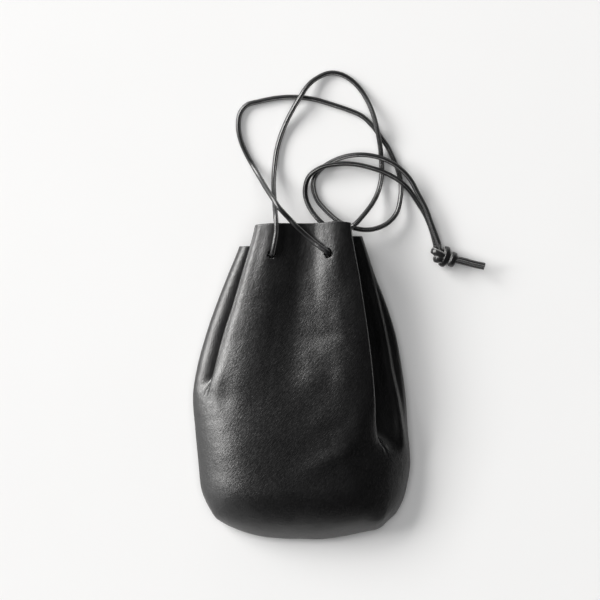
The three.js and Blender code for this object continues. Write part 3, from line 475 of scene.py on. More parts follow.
def curve_span(points, span, shares):
    """Points at shares of one span of the smooth curve through the points, which may be many curves."""
    last = points.shape[-2] - 1
    start = points[..., span, :]
    end = points[..., span + 1, :]
    before = points[..., span - 1, :] if span > 0 else 2 * start - end
    after = points[..., span + 2, :] if span + 1 < last else 2 * end - start
    gaps = [np.sqrt(np.linalg.norm(b - a, axis=-1, keepdims=True)).clip(1e-6)
            for a, b in ((before, start), (start, end), (end, after))]
    leave = ((start - before) / gaps[0] - (end - before) / (gaps[0] + gaps[1]) + (end - start) / gaps[1])
    arrive = ((end - start) / gaps[1] - (after - start) / (gaps[1] + gaps[2]) + (after - end) / gaps[2])
    leave = leave * gaps[1]
    arrive = arrive * gaps[1]
    found = []
    for t in shares:
        square = -3 * start + 3 * end - 2 * leave - arrive
        cube = 2 * start - 2 * end + leave + arrive
        found.append(start + leave * t + square * t ** 2 + cube * t ** 3)
    return found


def smooth_route(points, step):
    """Points along the smooth curve through the route's points, "step" apart."""
    points = np.asarray(points, dtype=float)
    dense = []
    for span in range(len(points) - 1):
        dense += curve_span(points, span, np.arange(CURVE_CUTS) / CURVE_CUTS)
    dense.append(points[-1])
    dense = np.array(dense)
    along = np.concatenate([[0], np.cumsum(np.linalg.norm(np.diff(dense, axis=0), axis=1))])
    steps = max(2, round(along[-1] / step))
    places = np.linspace(0, along[-1], steps + 1)
    return np.stack([np.interp(places, along, dense[:, axis]) for axis in range(3)], axis=-1)


def skin_grid(stations, step):
    """Fine grid of a skin from its stations, an array of rows by stations by 3."""
    columns = []
    for span in range(stations.shape[1] - 1):
        widths = np.linalg.norm(stations[:, span + 1] - stations[:, span], axis=-1)
        cuts = max(2, math.ceil(float(np.quantile(widths, 0.7)) / step))
        columns += curve_span(stations, span, np.arange(cuts) / cuts)
    columns.append(stations[:, -1])
    return np.stack(columns, axis=1)


def unit(vectors):
    return vectors / np.linalg.norm(vectors, axis=-1, keepdims=True).clip(1e-12)


def skin_normals(grid, facing):
    """Outward direction at each point of a skin; along the seams it is level, so that the edges meet."""
    across = unit(np.gradient(grid, axis=1))
    along = unit(np.gradient(grid, axis=0))
    normals = unit(np.cross(across, along) * -facing)
    centre = np.array([0, BELLY_Y, 0])
    for edge in (np.s_[-1, :], np.s_[:, 0], np.s_[:, -1]):
        seam = np.gradient(grid[edge], axis=0)
        level = unit(np.stack([seam[:, 1], -seam[:, 0], np.zeros(len(seam))], axis=-1))
        outward = np.sign(np.sum(level * (grid[edge] - centre), axis=-1, keepdims=True))
        normals[edge] = level * outward
    return normals


def grid_faces(rows, across, first, flipped):
    """Quads between neighbouring points of a grid whose first point has the given number."""
    row, column = np.meshgrid(np.arange(rows - 1), np.arange(across - 1), indexing="ij")
    corner = first + (row * across + column).ravel()
    quads = np.stack([corner, corner + across, corner + across + 1, corner + 1], axis=-1)
    return quads[:, ::-1] if flipped else quads


def perimeter(rows, across):
    """Numbers of a grid's border points, once round."""
    top = np.arange(across)
    right = np.arange(1, rows) * across + across - 1
    bottom = (rows - 1) * across + np.arange(across - 2, -1, -1)
    left = np.arange(rows - 2, 0, -1) * across
    return np.concatenate([top, right, bottom, left])


def wall_mesh(name, grid, facing, materials):
    """A leather wall: the outer skin, the inner one WALL inside it, and rounded edges between them."""
    rows, across, _ = grid.shape
    normals = skin_normals(grid, facing)
    outer = grid.reshape(-1, 3).copy()
    directions = normals.reshape(-1, 3)
    border = perimeter(rows, across)
    outwards = np.zeros_like(grid)
    outwards[0] += unit(grid[0] - grid[1])
    outwards[-1] += unit(grid[-1] - grid[-2])
    outwards[:, 0] += unit(grid[:, 0] - grid[:, 1])
    outwards[:, -1] += unit(grid[:, -1] - grid[:, -2])
    out = outwards.reshape(-1, 3)[border]
    side = directions[border]
    out = unit(out - side * np.sum(out * side, axis=-1, keepdims=True))
    edge = outer[border].copy()
    inner = outer - directions * WALL
    outer[border] -= out * EDGE_ROUND
    inner[border] -= out * EDGE_ROUND
    rings = []
    for angle in EDGE_ANGLES:
        depth = EDGE_ROUND * (1 - math.cos(angle))
        rings.append(edge - out * EDGE_ROUND * (1 - math.sin(angle)) - side * depth)
    for angle in EDGE_ANGLES[::-1]:
        depth = WALL - EDGE_ROUND * (1 - math.cos(angle))
        rings.append(edge - out * EDGE_ROUND * (1 - math.sin(angle)) - side * depth)
    count = rows * across
    points = np.concatenate([outer, inner, *rings])
    faces = [grid_faces(rows, across, 0, facing < 0), grid_faces(rows, across, count, facing > 0)]
    kinds = [np.zeros(len(faces[0]), int), np.ones(len(faces[1]), int)]
    ring_numbers = [border]
    for ring in range(len(rings)):
        ring_numbers.append(2 * count + ring * len(border) + np.arange(len(border)))
    ring_numbers.append(count + border)
    for first, second in zip(ring_numbers, ring_numbers[1:]):
        band = np.stack([first, np.roll(first, -1), np.roll(second, -1), second], axis=-1)
        faces.append(band if facing > 0 else band[:, ::-1])
        kinds.append(np.full(len(band), 2))
    return make_object(name, points, np.concatenate(faces), materials, np.concatenate(kinds))


def make_object(name, points, faces, materials, kinds=None):
    mesh = bpy.data.meshes.new(name)
    mesh.from_pydata(points.tolist(), [], [list(face) for face in faces])
    for material in materials:
        mesh.materials.append(material)
    if kinds is not None:
        mesh.polygons.foreach_set("material_index", np.asarray(kinds, dtype=np.int32))
    mesh.polygons.foreach_set("use_smooth", np.ones(len(mesh.polygons), dtype=bool))
    mesh.update()
    thing = bpy.data.objects.new(name, mesh)
    bpy.context.scene.collection.objects.link(thing)
    return thing


# Lace

# Each list has x from the middle line, distance past the front rim and, for the free stretch, height over
# the table, in millimetres
LEFT_ON_LEATHER = [[-21.8, -18.6], [-20.8, -13], [-20, -7.5], [-20, -2]]
RIGHT_ON_LEATHER = [[15.4, -20.6], [10.6, -16.8], [5.4, -12.4], [0.4, -7.9], [-4.8, -3]]
LEFT_ROUTE = [
    [-20.5, 4, 31.8], [-20.9, 9, 28], [-21.4, 14.5, 22.2], [-21.9, 21, 17], [-22.3, 29.7, 10],
    [-22.1, 37, 5.4], [-21.4, 46, 2.9], [-19.6, 58.5, 2.3], [-15.2, 72.9, 2.8], [-8.1, 88.1, 5.4],
    [-1.2, 99.7, 7.6], [4.5, 108.4, 6.2], [10.5, 114, 4.2], [20.4, 119, 2.6], [27.6, 119.3, 2.3],
    [36.2, 116.1, 2.3], [44.8, 108.9, 2.6], [51.9, 98.5, 4], [57, 86.8, 6.6], [60.4, 74, 7.6],
    [62.8, 61.1, 5], [63.8, 49.7, 2.6], [64.1, 38.5, 2.5], [62, 26.8, 4.2], [57.7, 16.9, 8.2],
    [50.5, 6.8, 13.4], [41.8, -2.4, 17.6], [33.2, -7.4, 15.4], [23.6, -5.6, 13.2], [14.8, 0.8, 11],
    [7.6, 9.7, 6.8], [3.4, 19.7, 3.6], [3.1, 28.1, 2.8], [6.2, 36.9, 4.8], [14.8, 43.3, 7.6],
    [26, 46.1, 7.6], [40.4, 46.5, 7.2], [53.2, 44.1, 7.4], [66, 39.7, 7.8], [77.7, 33.3, 8.2],
    [86, 25.7, 5.8], [93.2, 15.3, 3], [99.1, 5.7, 2.4], [103.4, -4.7, 2.3], [106.2, -14.3, 2.4],
    [107.2, -18.4, 2.6],
]
RIGHT_ROUTE = [
    [-9.5, 2, 31.3], [-13.8, 6.6, 31.4], [-18, 11.3, 30.6], [-22.3, 17.8, 26.9], [-26.8, 24.6, 20.2],
    [-31.2, 32, 12.6], [-35.2, 38.9, 6.8], [-38.9, 45.4, 3.6], [-43.4, 53.4, 2.3], [-48.1, 64.1, 2.3],
    [-50.5, 75.3, 2.3], [-49.2, 86.8, 2.3], [-43.8, 93.7, 2.3], [-34, 96.6, 2.3], [-19.6, 99.4, 2.3],
    [-5.2, 100.1, 2.3], [9.2, 98.5, 2.3], [23.4, 94.5, 2.3], [37.7, 89.7, 2.3], [48.2, 85, 2.3],
    [56.2, 77.7, 2.3], [63.4, 68.1, 2.3], [69.2, 59.7, 2.3], [73.2, 51.3, 2.3], [77.3, 40.9, 2.3],
    [79.4, 31.3, 2.3], [79.1, 19.7, 4.4], [75.6, 6.8, 8], [67.6, -1.5, 10.6], [57.7, -5.5, 12],
    [49.2, -6, 12.5], [41.2, -4.4, 12.5], [34.8, -2.2, 12], [29.2, 1, 10.4], [20.4, 8.6, 6.4],
    [13.2, 16.9, 3.4], [9.8, 25.7, 2.3], [9.8, 34, 2.3], [13.2, 40.1, 2.3], [18.5, 45, 2.4],
    [24.8, 48.7, 2.8], [34.8, 52.4, 5.2], [46, 53.9, 7.6], [57.7, 52.8, 8], [67.6, 49.7, 8],
    [76.6, 44.5, 7.8], [86, 35.3, 7.2], [93.2, 22.5, 7], [99.1, 11.3, 7.1], [103.4, -0.3, 7.2],
    [107.6, -11.4, 7.2], [109.9, -17.7, 7],
]
TAIL_LEFT = [[124.3, -30.9, 4.4], [131, -32.6, 4.8], [138.6, -34.6, 5.4], [146, -36.2, 6.2]]
TAIL_RIGHT = [[124.9, -29.1, 8.7], [131.6, -30.8, 9.1], [139, -32.8, 9.7], [146.5, -34.4, 10.5]]

# Overhand knot of both strands, in its own frame: "along" from the strands to the tails, "aside" to the
# left of that, and up, from the knot's middle, in millimetres
KNOT = SimpleNamespace(x=114.4, past=-26.7, z=6.1, turn=-30.2)
KNOT_CORES = [
    [[-10.6, 3.7, -3.5], [-8.6, 1, -3.4], [-5, 0, -2.8], [2, -0.2, -2], [8, 0.7, -1.8], [11.3, 1.5, -1.7]],
    [[-8.6, 5.8, 0.9], [-6.6, 3, 1], [-3, 1.8, 1.3], [3, 1.9, 1.5], [8, 2.6, 2.2], [11, 3.4, 2.6]],
]
KNOT_RINGS = [
    SimpleNamespace(along=1.7, aside=-0.8, up=0, tilt=10, bow=2.4, wide=6.9, high=4.3),
    SimpleNamespace(along=7.3, aside=0.4, up=0.2, tilt=10, bow=0.8, wide=4.8, high=4.3),
]
KNOT_BIGHTS = [
    [[0, -0.4, 4], [-4, -0.6, 4.1], [-8, -0.9, 3.4], [-9.9, -1.2, 1.8], [-10.4, -1.3, -0.4],
     [-9, -1.4, -2.6], [-6, -1.5, -3.4]],
    [[1, -3, 3.6], [-1.6, -4, 3.7], [-4.2, -5.4, 2.7], [-5.4, -6.3, 0.8], [-5.2, -6.4, -1.4],
     [-3, -5.6, -3.2]],
]
KNOT_THICK = 0.72  # shares of the lace's height and width to which the knot presses its turns
KNOT_WIDE = 1.35

# Section of the lace, a strip rolled round and sewn edge to edge: degrees from the seam at which its points
# lie, closer together near the seam
SECTION = np.radians(list(range(-50, 51, 5)) + list(range(65, 300, 15)))
SEAM_GROOVE = 0.42 * MM
SEAM_GROOVE_SPREAD = math.radians(9)
SEAM_LIP = 0.2 * MM
SEAM_LIP_TURN = math.radians(24)  # from the seam to the middle of the lip beside it
SEAM_LIP_SPREAD = 0.5 * SEAM_LIP_TURN
SKIN_INSET = 0.06 * MM  # keeps the lips about within the lace's diameter
STITCH_PITCH = 2.0 * MM
STITCH_DEPTH = 0.22 * MM
STITCH_SPREAD = 0.45 * SEAM_LIP_TURN
STITCH_SLANT = 1.6
LACE_STEP = 0.35 * MM
CUT_BEVEL = 0.3 * MM
# Degrees from the seam, on one side only, of a lighter grey stripe: part raw edge of the strip, part
# painted highlight of its sharp edge
RAW_EDGE_AND_HIGHLIGHT = (2, 13)  # degrees from the seam between which the strip's raw edge shows
KNOT_RAW_EDGE_AND_HIGHLIGHT = (2, 20)

# Offsets of the gathered lace's points from its holes and from the layers that it passes
GATHER = SimpleNamespace(
    start_below=0.9 * MM,
    enter_out=0.8 * MM,
    enter_back=1.6 * MM,
    enter_below=4 * MM,
    slack_share=0.65,
    pass_above=1 * MM,
    pass_out=0.4 * MM,
    turn_in=1.4 * MM,
    turn_share=0.2,
    floor_in=5.2 * MM,
)


def front_height(x, below_rim):
    """Height of the front lobe's skin near the mouth."""
    down = below_rim / POUCH_LENGTH
    left = pleat_at(-1, down)
    right = pleat_at(1, down)
    share = (x + left.fold) / (left.fold + right.fold)
    return float(shut_front(left, right, share, x, down))


def gather_side(side, hole_x):
    """One side of the gathered lace, from the front hole down through the two hidden holes of the pleat."""
    pleat = pleat_at(side, HOLE_BELOW_RIM / POUCH_LENGTH)
    skin = front_height(side * hole_x, HOLE_BELOW_RIM)
    pass_x = pleat.fold - PASS_INSET
    floor_z = pleat.levels.back + WALL + LACE_CLEARANCE + LACE_RADIUS
    places = [
        (hole_x, 0, skin - GATHER.start_below),
        (hole_x + GATHER.enter_out, GATHER.enter_back, skin - GATHER.enter_below),
        (mix(hole_x, pass_x, GATHER.slack_share), GATHER_SET_BACK, mix(skin, pleat.under, 0.5)),
        (pass_x, GATHER_SET_BACK, pleat.under + GATHER.pass_above),
        (pass_x + GATHER.pass_out, GATHER_SET_BACK, pleat.lobe - WALL),
        (pass_x - GATHER.turn_in, GATHER_SET_BACK, mix(floor_z, pleat.lobe, GATHER.turn_share)),
        (pass_x - GATHER.floor_in, GATHER_SET_BACK, floor_z),
    ]
    return np.array([(side * x, HOLE_Y - back, z) for x, back, z in places], dtype=float)


def strand_route(hole, on_leather, route):
    """A free strand: straight out of its hole, over the leather to the rim, then through its own points."""
    out = unit(hole[0] - hole[1])
    points = [hole[0], hole[0] + out * STRAIGHT_OUT]
    for x, past in on_leather:
        z = front_height(x * MM, -past * MM) + LACE_RADIUS + LEATHER_CLEARANCE
        points.append([x * MM, RIM_Y + past * MM, z])
    return np.array([*points, *free_route(route)])


def free_route(points):
    return np.array([[x * MM, RIM_Y + past * MM, z * MM] for x, past, z in points])


def knot_point(place):
    """A point of the knot's own frame, placed in the part's."""
    along, aside, up = place
    turn = math.radians(KNOT.turn)
    x = KNOT.x + along * math.cos(turn) - aside * math.sin(turn)
    past = KNOT.past + along * math.sin(turn) + aside * math.cos(turn)
    return [x * MM, RIM_Y + past * MM, (KNOT.z + up) * MM]


def ring_route(ring):
    """One turn round the strands inside the knot, run on a little past its start."""
    tilt = math.radians(ring.tilt)
    points = []
    for index in range(RING_POINTS + 2):
        angle = index / RING_POINTS * math.tau
        out = math.cos(angle) * ring.wide
        along = ring.along - out * math.sin(tilt) - ring.bow * (1 - abs(math.sin(angle)))
        aside = ring.aside + out * math.cos(tilt)
        points.append(knot_point((along, aside, ring.up + math.sin(angle) * ring.high)))
    return np.array(points)


def carried_frames(route):
    """Direction, side and up at each point of a route, carried along it without twisting."""
    ahead = unit(np.gradient(route, axis=0))
    up = np.array([0.0, 0.0, 1.0])
    middle = int(np.argmin(np.abs(ahead[:, 2]) - route[:, 2]))
    ups = np.zeros_like(route)
    ups[middle] = unit(up - ahead[middle] * ahead[middle, 2])
    for order in (range(middle + 1, len(route)), range(middle - 1, -1, -1)):
        last = ups[middle]
        for index in order:
            last = unit(last - ahead[index] * float(np.dot(last, ahead[index])))
            ups[index] = last
    return ahead, np.cross(ahead, ups), ups


def lace_mesh(route, seam_turns, raw_edge_and_highlight=RAW_EDGE_AND_HIGHLIGHT, thick=1.0, wide=1.0):
    """The lace's mesh along a route. seam_turns has shares of its length and the seam's degrees from up."""
    centre = smooth_route(route, LACE_STEP)
    ahead, side, up = carried_frames(centre)
    length = float(np.sum(np.linalg.norm(np.diff(centre, axis=0), axis=1)))
    along = np.linspace(0, length, len(centre))
    shares = [turn[0] for turn in seam_turns]
    seam = np.radians(np.interp(along / length, shares, [turn[1] for turn in seam_turns]))
    away = (SECTION + math.pi) % math.tau - math.pi
    groove = -SEAM_GROOVE * np.exp(-(away / SEAM_GROOVE_SPREAD) ** 2)
    lip = SEAM_LIP * np.exp(-((np.abs(away) - SEAM_LIP_TURN) / SEAM_LIP_SPREAD) ** 2)
    phase = along[:, None] / STITCH_PITCH * math.tau + away[None, :] * STITCH_SLANT
    near_seam = np.exp(-((np.abs(away) - SEAM_LIP_TURN) / STITCH_SPREAD) ** 2)
    stitches = -STITCH_DEPTH * near_seam * np.clip(np.cos(phase), 0, 1) ** 3
    radius = LACE_RADIUS - SKIN_INSET + groove + lip + stitches
    radius[0] -= CUT_BEVEL
    radius[-1] -= CUT_BEVEL
    angle = seam[:, None] + SECTION[None, :]
    offset = (thick * np.cos(angle)[..., None] * up[:, None]
              + wide * np.sin(angle)[..., None] * side[:, None])
    points = (centre[:, None] + offset * radius[..., None]).reshape(-1, 3)
    rings, around = len(centre), len(SECTION)
    ring, place = np.meshgrid(np.arange(rings - 1), np.arange(around), indexing="ij")
    from_seam = np.degrees(away[place.ravel()])
    # Faces in this band get the lighter raw-edge material, which also serves as a painted highlight along
    # one side of the seam
    kinds = ((from_seam > raw_edge_and_highlight[0]) & (from_seam < raw_edge_and_highlight[1])).astype(int)
    first = (ring * around + place).ravel()
    second = (ring * around + (place + 1) % around).ravel()
    faces = np.stack([first, second, second + around, first + around], axis=-1).tolist()
    start, end = len(points), len(points) + 1
    points = np.concatenate([points, [centre[0], centre[-1]]])
    for index in range(around):
        following = (index + 1) % around
        faces.append([start, following, index])
        faces.append([end, (rings - 1) * around + index, (rings - 1) * around + following])
    kinds = np.concatenate([kinds, np.zeros(2 * around, int)])
    return SimpleNamespace(points=points, faces=faces, kinds=kinds, centre=centre, length=length)


def lace_object(name, node, laces, materials):
    """One piece made of one or more stretches of the lace, in the place of a node."""
    points = []
    faces = []
    for lace in laces:
        first = sum(len(group) for group in points)
        points.append(lace.points)
        faces += [[first + number for number in face] for face in lace.faces]
    kinds = np.concatenate([lace.kinds for lace in laces])
    thing = make_object(name, np.concatenate(points), faces, materials, kinds)
    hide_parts(node)
    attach(thing, "root")
    return thing


# Materials


def new_material(name, colour, roughness):
    material = bpy.data.materials.new(name)
    material.use_nodes = True
    nodes = material.node_tree.nodes
    shader = nodes["Principled BSDF"]
    shader.inputs["Base Color"].default_value = (*colour, 1)
    shader.inputs["Roughness"].default_value = roughness
    return material, shader


def add_node(material, kind, **values):
    node = material.node_tree.nodes.new(kind)
    for name, value in values.items():
        if name in node.inputs:
            node.inputs[name].default_value = value
        else:
            setattr(node, name, value)
    return node


def link(material, start, end):
    material.node_tree.links.new(start, end)


def place_node(material, turn=0.0, stretch=(1, 1, 1)):
    """Object coordinates, turned about Z by "turn" degrees and then stretched."""
    where = add_node(material, "ShaderNodeTexCoord")
    turned = add_node(material, "ShaderNodeMapping")
    turned.inputs["Rotation"].default_value = (0, 0, math.radians(turn))
    link(material, where.outputs["Object"], turned.inputs["Vector"])
    stretched = add_node(material, "ShaderNodeMapping")
    stretched.inputs["Scale"].default_value = stretch
    link(material, turned.outputs["Vector"], stretched.inputs["Vector"])
    return stretched.outputs["Vector"]


def noise_node(material, vector, scale, detail=3.0, roughness=0.55):
    node = add_node(material, "ShaderNodeTexNoise", Scale=scale, Detail=detail, Roughness=roughness)
    link(material, vector, node.inputs["Vector"])
    return node.outputs["Fac"]


def range_node(material, value, low, high, from_low=0.3, from_high=0.7):
    node = add_node(material, "ShaderNodeMapRange")
    for socket, number in zip(node.inputs[1:5], (from_low, from_high, low, high)):
        socket.default_value = number
    link(material, value, node.inputs[0])
    return node.outputs[0]


def ramp_node(material, value, dark, light):
    node = add_node(material, "ShaderNodeValToRGB")
    node.color_ramp.elements[0].position = 0.32
    node.color_ramp.elements[1].position = 0.7
    node.color_ramp.elements[0].color = (*dark, 1)
    node.color_ramp.elements[1].color = (*light, 1)
    link(material, value, node.inputs["Fac"])
    return node.outputs["Color"]


def bump_node(material, height, distance, strength=1.0, before=None):
    node = add_node(material, "ShaderNodeBump", Strength=strength, Distance=distance)
    link(material, height, node.inputs["Height"])
    if before is not None:
        link(material, before, node.inputs["Normal"])
    return node.outputs["Normal"]


GRAIN_TURN = -50  # turns the grain's long direction, lower left to upper right, onto the X axis


def leather_material():
    """Smooth black leather with a fine brushed grain that runs from lower left to upper right."""
    material, shader = new_material("black_leather", (0.004, 0.004, 0.0043), 0.38)
    shader.inputs["Specular IOR Level"].default_value = 1.0
    plain = place_node(material)
    grain = place_node(material, GRAIN_TURN, (0.3, 1, 1))
    tone = noise_node(material, plain, 45)
    link(material, ramp_node(material, tone, (0.003, 0.003, 0.0033), (0.006, 0.006, 0.0063)),
         shader.inputs["Base Color"])
    streaks = noise_node(material, grain, 1150, 3, 0.6)
    link(material, range_node(material, streaks, 0.28, 0.46), shader.inputs["Roughness"])
    broad = noise_node(material, grain, 1000, 1, 0.4)
    soft = noise_node(material, plain, 75, 2, 0.45)
    pores = noise_node(material, plain, 1900, 2, 0.5)
    normal = bump_node(material, soft, 0.4 * MM)
    normal = bump_node(material, broad, 0.06 * MM, before=normal)
    normal = bump_node(material, streaks, 0.16 * MM, before=normal)
    normal = bump_node(material, pores, 0.06 * MM, before=normal)
    link(material, normal, shader.inputs["Normal"])
    return material


def fibre_material(name, colour, roughness, noise, dark, light, height):
    """Rough material with one fine noise in its colour and in its height."""
    material, shader = new_material(name, colour, roughness)
    fibre = noise_node(material, place_node(material), *noise)
    link(material, ramp_node(material, fibre, dark, light), shader.inputs["Base Color"])
    link(material, bump_node(material, fibre, height), shader.inputs["Normal"])
    return material


def suede_material():
    """Flesh side of the leather, inside the pouch."""
    return fibre_material("black_suede", (0.022, 0.021, 0.021), 0.9, noise=(900, 4, 0.65),
                          dark=(0.014, 0.013, 0.013), light=(0.034, 0.033, 0.032), height=0.3 * MM)


def edge_material():
    """Cut edge of the leather, dyed through and a little lighter than its face."""
    return fibre_material("cut_edge", (0.03, 0.03, 0.031), 0.55, noise=(1400, 4, 0.7),
                          dark=(0.02, 0.02, 0.02), light=(0.05, 0.05, 0.05), height=0.12 * MM)


def lace_material():
    """Leather of the lace, thinner and a little glossier than the pouch's."""
    material, shader = new_material("lace_leather", (0.007, 0.007, 0.0075), 0.32)
    shader.inputs["Specular IOR Level"].default_value = 1.0
    plain = place_node(material)
    tone = noise_node(material, plain, 120)
    link(material, ramp_node(material, tone, (0.005, 0.005, 0.0055), (0.01, 0.01, 0.0105)),
         shader.inputs["Base Color"])
    grain = noise_node(material, plain, 1600, 3, 0.6)
    link(material, range_node(material, grain, 0.26, 0.38), shader.inputs["Roughness"])
    creases = noise_node(material, plain, 420, 3, 0.5)
    normal = bump_node(material, creases, 0.1 * MM)
    normal = bump_node(material, grain, 0.05 * MM, before=normal)
    link(material, normal, shader.inputs["Normal"])
    return material


def raw_edge_and_highlight_material():
    """Raw edge of the lace's strip along its seam, painted a lighter grey that is partly its own colour and
    partly a painted highlight of its sharp edge catching the window.
    """
    return fibre_material("lace_raw_edge_and_painted_highlight", (0.2, 0.2, 0.2), 0.5, noise=(900, 3, 0.6),
                          dark=(0.1, 0.1, 0.1), light=(0.3, 0.3, 0.296), height=0.1 * MM)


def table_material():
    material, shader = new_material("white_table", (0.86, 0.86, 0.86), 0.85)
    plain = place_node(material)
    tone = noise_node(material, plain, 6)
    link(material, ramp_node(material, tone, (0.855, 0.855, 0.855), (0.865, 0.865, 0.865)),
         shader.inputs["Base Color"])
    return material


# Camera, light and table

WINDOW_SIDE = 154  # degrees from the X axis towards which the window stands
WINDOW_RISE = 28  # degrees over the table
WINDOW_DISTANCE = 10.0
WINDOW_WIDTH = 9.0
WINDOW_HEIGHT = 3.8
WINDOW_POWER = 1440
WINDOW_COLOUR = (1.0, 0.99, 0.975)
CEILING_HEIGHT = 4.4
CEILING_SIZE = 5.0
CEILING_POWER = 102
TABLE_SIZE = 6.0
ROOM_OVERHEAD = 0.03
ROOM_AROUND = 0.55
ROOM_RISE = (0.38, 0.62)  # heights between which the room goes from the one to the other
ROOM_DARK_SIDE = 0.1
ROOM_BRIGHT_SIDE = 1.9
ROOM_TURN = (-0.35, 0.9)  # how far towards the window it goes from the one to the other


def make_camera():
    camera = bpy.data.cameras.new("camera")
    camera.sensor_width = 36
    camera.sensor_height = 36
    camera.lens = camera.sensor_width * CAMERA_HEIGHT / FRAME_WIDTH
    camera.clip_end = 100
    holder = bpy.data.objects.new("camera", camera)
    holder.location = (*FRAME_CENTRE, CAMERA_HEIGHT)
    bpy.context.scene.collection.objects.link(holder)
    bpy.context.scene.camera = holder


def window_direction():
    side = math.radians(WINDOW_SIDE)
    rise = math.radians(WINDOW_RISE)
    return np.array([math.cos(side) * math.cos(rise), math.sin(side) * math.cos(rise), math.sin(rise)])


def area_light(name, width, height, power, place):
    light = bpy.data.lights.new(name, "AREA")
    light.shape = "RECTANGLE"
    light.size = width
    light.size_y = height
    light.energy = power
    holder = bpy.data.objects.new(name, light)
    holder.location = tuple(place)
    bpy.context.scene.collection.objects.link(holder)
    return holder


def make_window():
    place = window_direction() * WINDOW_DISTANCE + np.array([*FRAME_CENTRE, 0])
    window = area_light("window", WINDOW_WIDTH, WINDOW_HEIGHT, WINDOW_POWER, place)
    window.data.color = WINDOW_COLOUR
    window.rotation_euler = (math.radians(90 - WINDOW_RISE), 0, math.radians(WINDOW_SIDE + 90))


def make_ceiling():
    """Soft light from all of the ceiling, which only the matt share of a surface shows."""
    place = (*FRAME_CENTRE, CEILING_HEIGHT)
    ceiling = area_light("ceiling", CEILING_SIZE, CEILING_SIZE, CEILING_POWER, place)
    ceiling.visible_glossy = False
    ceiling.visible_camera = False


def make_room():
    """Pale room: dim straight above the table, brighter towards the walls and most on the window's side."""
    world = bpy.data.worlds.new("room")
    bpy.context.scene.world = world
    world.use_nodes = True
    background = world.node_tree.nodes["Background"]
    background.inputs["Color"].default_value = (1, 1, 1, 1)
    where = add_node(world, "ShaderNodeTexCoord").outputs["Generated"]
    split = add_node(world, "ShaderNodeSeparateXYZ")
    link(world, where, split.inputs["Vector"])
    rise = range_node(world, split.outputs["Z"], ROOM_AROUND, ROOM_OVERHEAD, *ROOM_RISE)
    towards = add_node(world, "ShaderNodeVectorMath", operation="DOT_PRODUCT")
    towards.inputs[1].default_value = tuple(window_direction() * (1, 1, 0))
    link(world, where, towards.inputs[0])
    side = range_node(world, towards.outputs["Value"], ROOM_DARK_SIDE, ROOM_BRIGHT_SIDE, *ROOM_TURN)
    product = add_node(world, "ShaderNodeMath", operation="MULTIPLY")
    link(world, rise, product.inputs[0])
    link(world, side, product.inputs[1])
    link(world, product.outputs["Value"], background.inputs["Strength"])


def make_table():
    half = TABLE_SIZE / 2
    corners = np.array([[-half, -half, 0], [half, -half, 0], [half, half, 0], [-half, half, 0]])
    thing = make_object("table", corners, [[0, 1, 2, 3]], [table_material()])


def set_view():
    bpy.context.scene.view_settings.view_transform = "Standard"
    bpy.context.scene.view_settings.look = "None"


# Pieces

# Where each stretch of the lace has its seam: share of its length, and degrees from the top. This also
# turns the lighter raw-edge stripe, which doubles as a painted highlight, to where it shows.
LEFT_SEAM = [(0, 40), (0.15, 20), (0.35, 40), (0.5, 0), (0.65, -30), (0.8, 10), (1, 10)]
RIGHT_SEAM = [(0, 70), (0.2, 45), (0.4, 15), (0.6, -25), (0.8, 10), (1, 10)]
GATHER_SEAM = [(0, 90), (1, 90)]
CORE_SEAM = [(0, 0), (1, 0)]
TURN_SEAM = [(0, 42), (1, 42)]
TAIL_SEAM = [(0, 0), (1, 0)]


def make_laces():
    materials = [lace_material(), raw_edge_and_highlight_material()]
    gather_left = gather_side(-1, HOLE_LEFT)
    gather_right = gather_side(1, HOLE_RIGHT)
    middle = [0, HOLE_Y - GATHER_SET_BACK, gather_left[-1][2]]
    gathered = np.array([*gather_left, middle, *gather_right[::-1]])
    lace_object("gathered_lace", "gather_lace", [lace_mesh(gathered, GATHER_SEAM)], materials)

    cores = [np.array([knot_point(place) for place in core]) for core in KNOT_CORES]
    bights = [np.array([knot_point(place) for place in bight]) for bight in KNOT_BIGHTS]
    turns = bights + [ring_route(ring) for ring in KNOT_RINGS]
    parts = [lace_mesh(core, CORE_SEAM) for core in cores]
    parts += [lace_mesh(turn, TURN_SEAM, KNOT_RAW_EDGE_AND_HIGHLIGHT, KNOT_THICK, KNOT_WIDE) for turn in turns]
    knot = lace_object("lace_knot", "knot", parts, materials)
    ends = [lace_mesh(free_route(tail), TAIL_SEAM) for tail in (TAIL_LEFT, TAIL_RIGHT)]
    tail_left = lace_object("lace_end_left", "tail_left", ends[:1], materials)
    tail_right = lace_object("lace_end_right", "tail_right", ends[1:], materials)

    left_route = strand_route(gather_left, LEFT_ON_LEATHER, LEFT_ROUTE)
    right_route = strand_route(gather_right, RIGHT_ON_LEATHER, RIGHT_ROUTE)
    make_strand("lace_left", "strand_left", left_route, LEFT_SEAM, materials)
    make_strand("lace_right", "strand_right", right_route, RIGHT_SEAM, materials)
    return gathered


def make_strand(name, node, route, seam, materials):
    lace = lace_mesh(route, seam)
    strand = lace_object(name, node, [lace], materials)


ANY_SIDE = np.array([0.3, 1.0, 0.2])  # a direction that no hole has


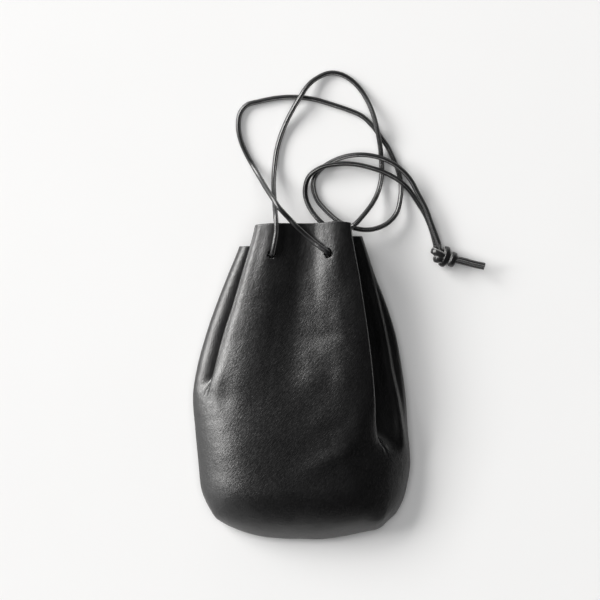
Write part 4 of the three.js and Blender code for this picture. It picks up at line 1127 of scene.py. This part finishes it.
def cut_holes(panel, gathered):
    """Cuts the round lace holes through the front panel, where the gathered lace passes it."""
    last = len(gathered) - 1
    holes = [(0, 1.0), (3, HIDDEN_REACH_SHARE), (last - 4, HIDDEN_REACH_SHARE), (last - 1, 1.0)]
    for start, reach in holes:
        towards = unit(gathered[start + 1] - gathered[start])
        first = gathered[start] - towards * HOLE_CUT_REACH * reach
        final = gathered[start + 1] + towards * HOLE_CUT_REACH * reach
        cutter = make_object("cutter", *round_bar(first, final, HOLE_DIAMETER / 2), [])
        cut = panel.modifiers.new("hole", "BOOLEAN")
        cut.object = cutter
        cut.operation = "DIFFERENCE"
        cut.solver = "EXACT"
        evaluated = panel.evaluated_get(bpy.context.evaluated_depsgraph_get())
        mesh = bpy.data.meshes.new_from_object(evaluated)
        panel.modifiers.clear()
        panel.data = mesh
        bpy.data.objects.remove(cutter)


def round_bar(first, final, radius):
    """Points and faces of a closed round bar between two points."""
    ahead = unit(final - first)
    aside = unit(np.cross(ahead, ANY_SIDE))
    other = np.cross(ahead, aside)
    angles = np.arange(HOLE_SIDES) / HOLE_SIDES * math.tau
    ring = np.cos(angles)[:, None] * aside * radius + np.sin(angles)[:, None] * other * radius
    points = np.concatenate([first + ring, final + ring])
    faces = [list(range(HOLE_SIDES))[::-1], list(range(HOLE_SIDES, 2 * HOLE_SIDES))]
    for index in range(HOLE_SIDES):
        following = (index + 1) % HOLE_SIDES
        faces.append([index, following, HOLE_SIDES + following, HOLE_SIDES + index])
    return points, faces


def fine_rows(count):
    """So many rows from the rim to the bottom seam, spread as ROWS are."""
    return np.interp(np.linspace(0, len(ROWS) - 1, count), np.arange(len(ROWS)), ROWS)


def make_front(gathered, materials):
    rows = fine_rows(FRONT_ROWS)
    left = [pleat_station(station, -1, rows) for station in LEFT_PLEAT]
    right = [pleat_station(station, 1, rows) for station in RIGHT_PLEAT][::-1]
    lobe = [lobe_station(share, rows) for share in LOBE_STATIONS]
    stations = np.stack([*left, *lobe, *right], axis=1)
    panel = wall_mesh("front_leather", skin_grid(stations, FRONT_STEP), 1, materials)
    cut_holes(panel, gathered)
    return panel


def make_back(materials):
    rows = fine_rows(BACK_ROWS)
    stations = np.stack([back_station(share, rows) for share in BACK_STATIONS], axis=1)
    return wall_mesh("back_leather", skin_grid(stations, BACK_STEP), -1, materials)


def make_panels(gathered):
    materials = [leather_material(), suede_material(), edge_material()]
    front = make_front(gathered, materials)
    back = make_back(materials)
    for panel, node in ((front, "front_panel"), (back, "back_panel")):
        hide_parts(node)
        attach(panel, "root")


make_camera()
gathered_route = make_laces()
make_panels(gathered_route)
make_table()
make_window()
make_ceiling()
make_room()
set_view()
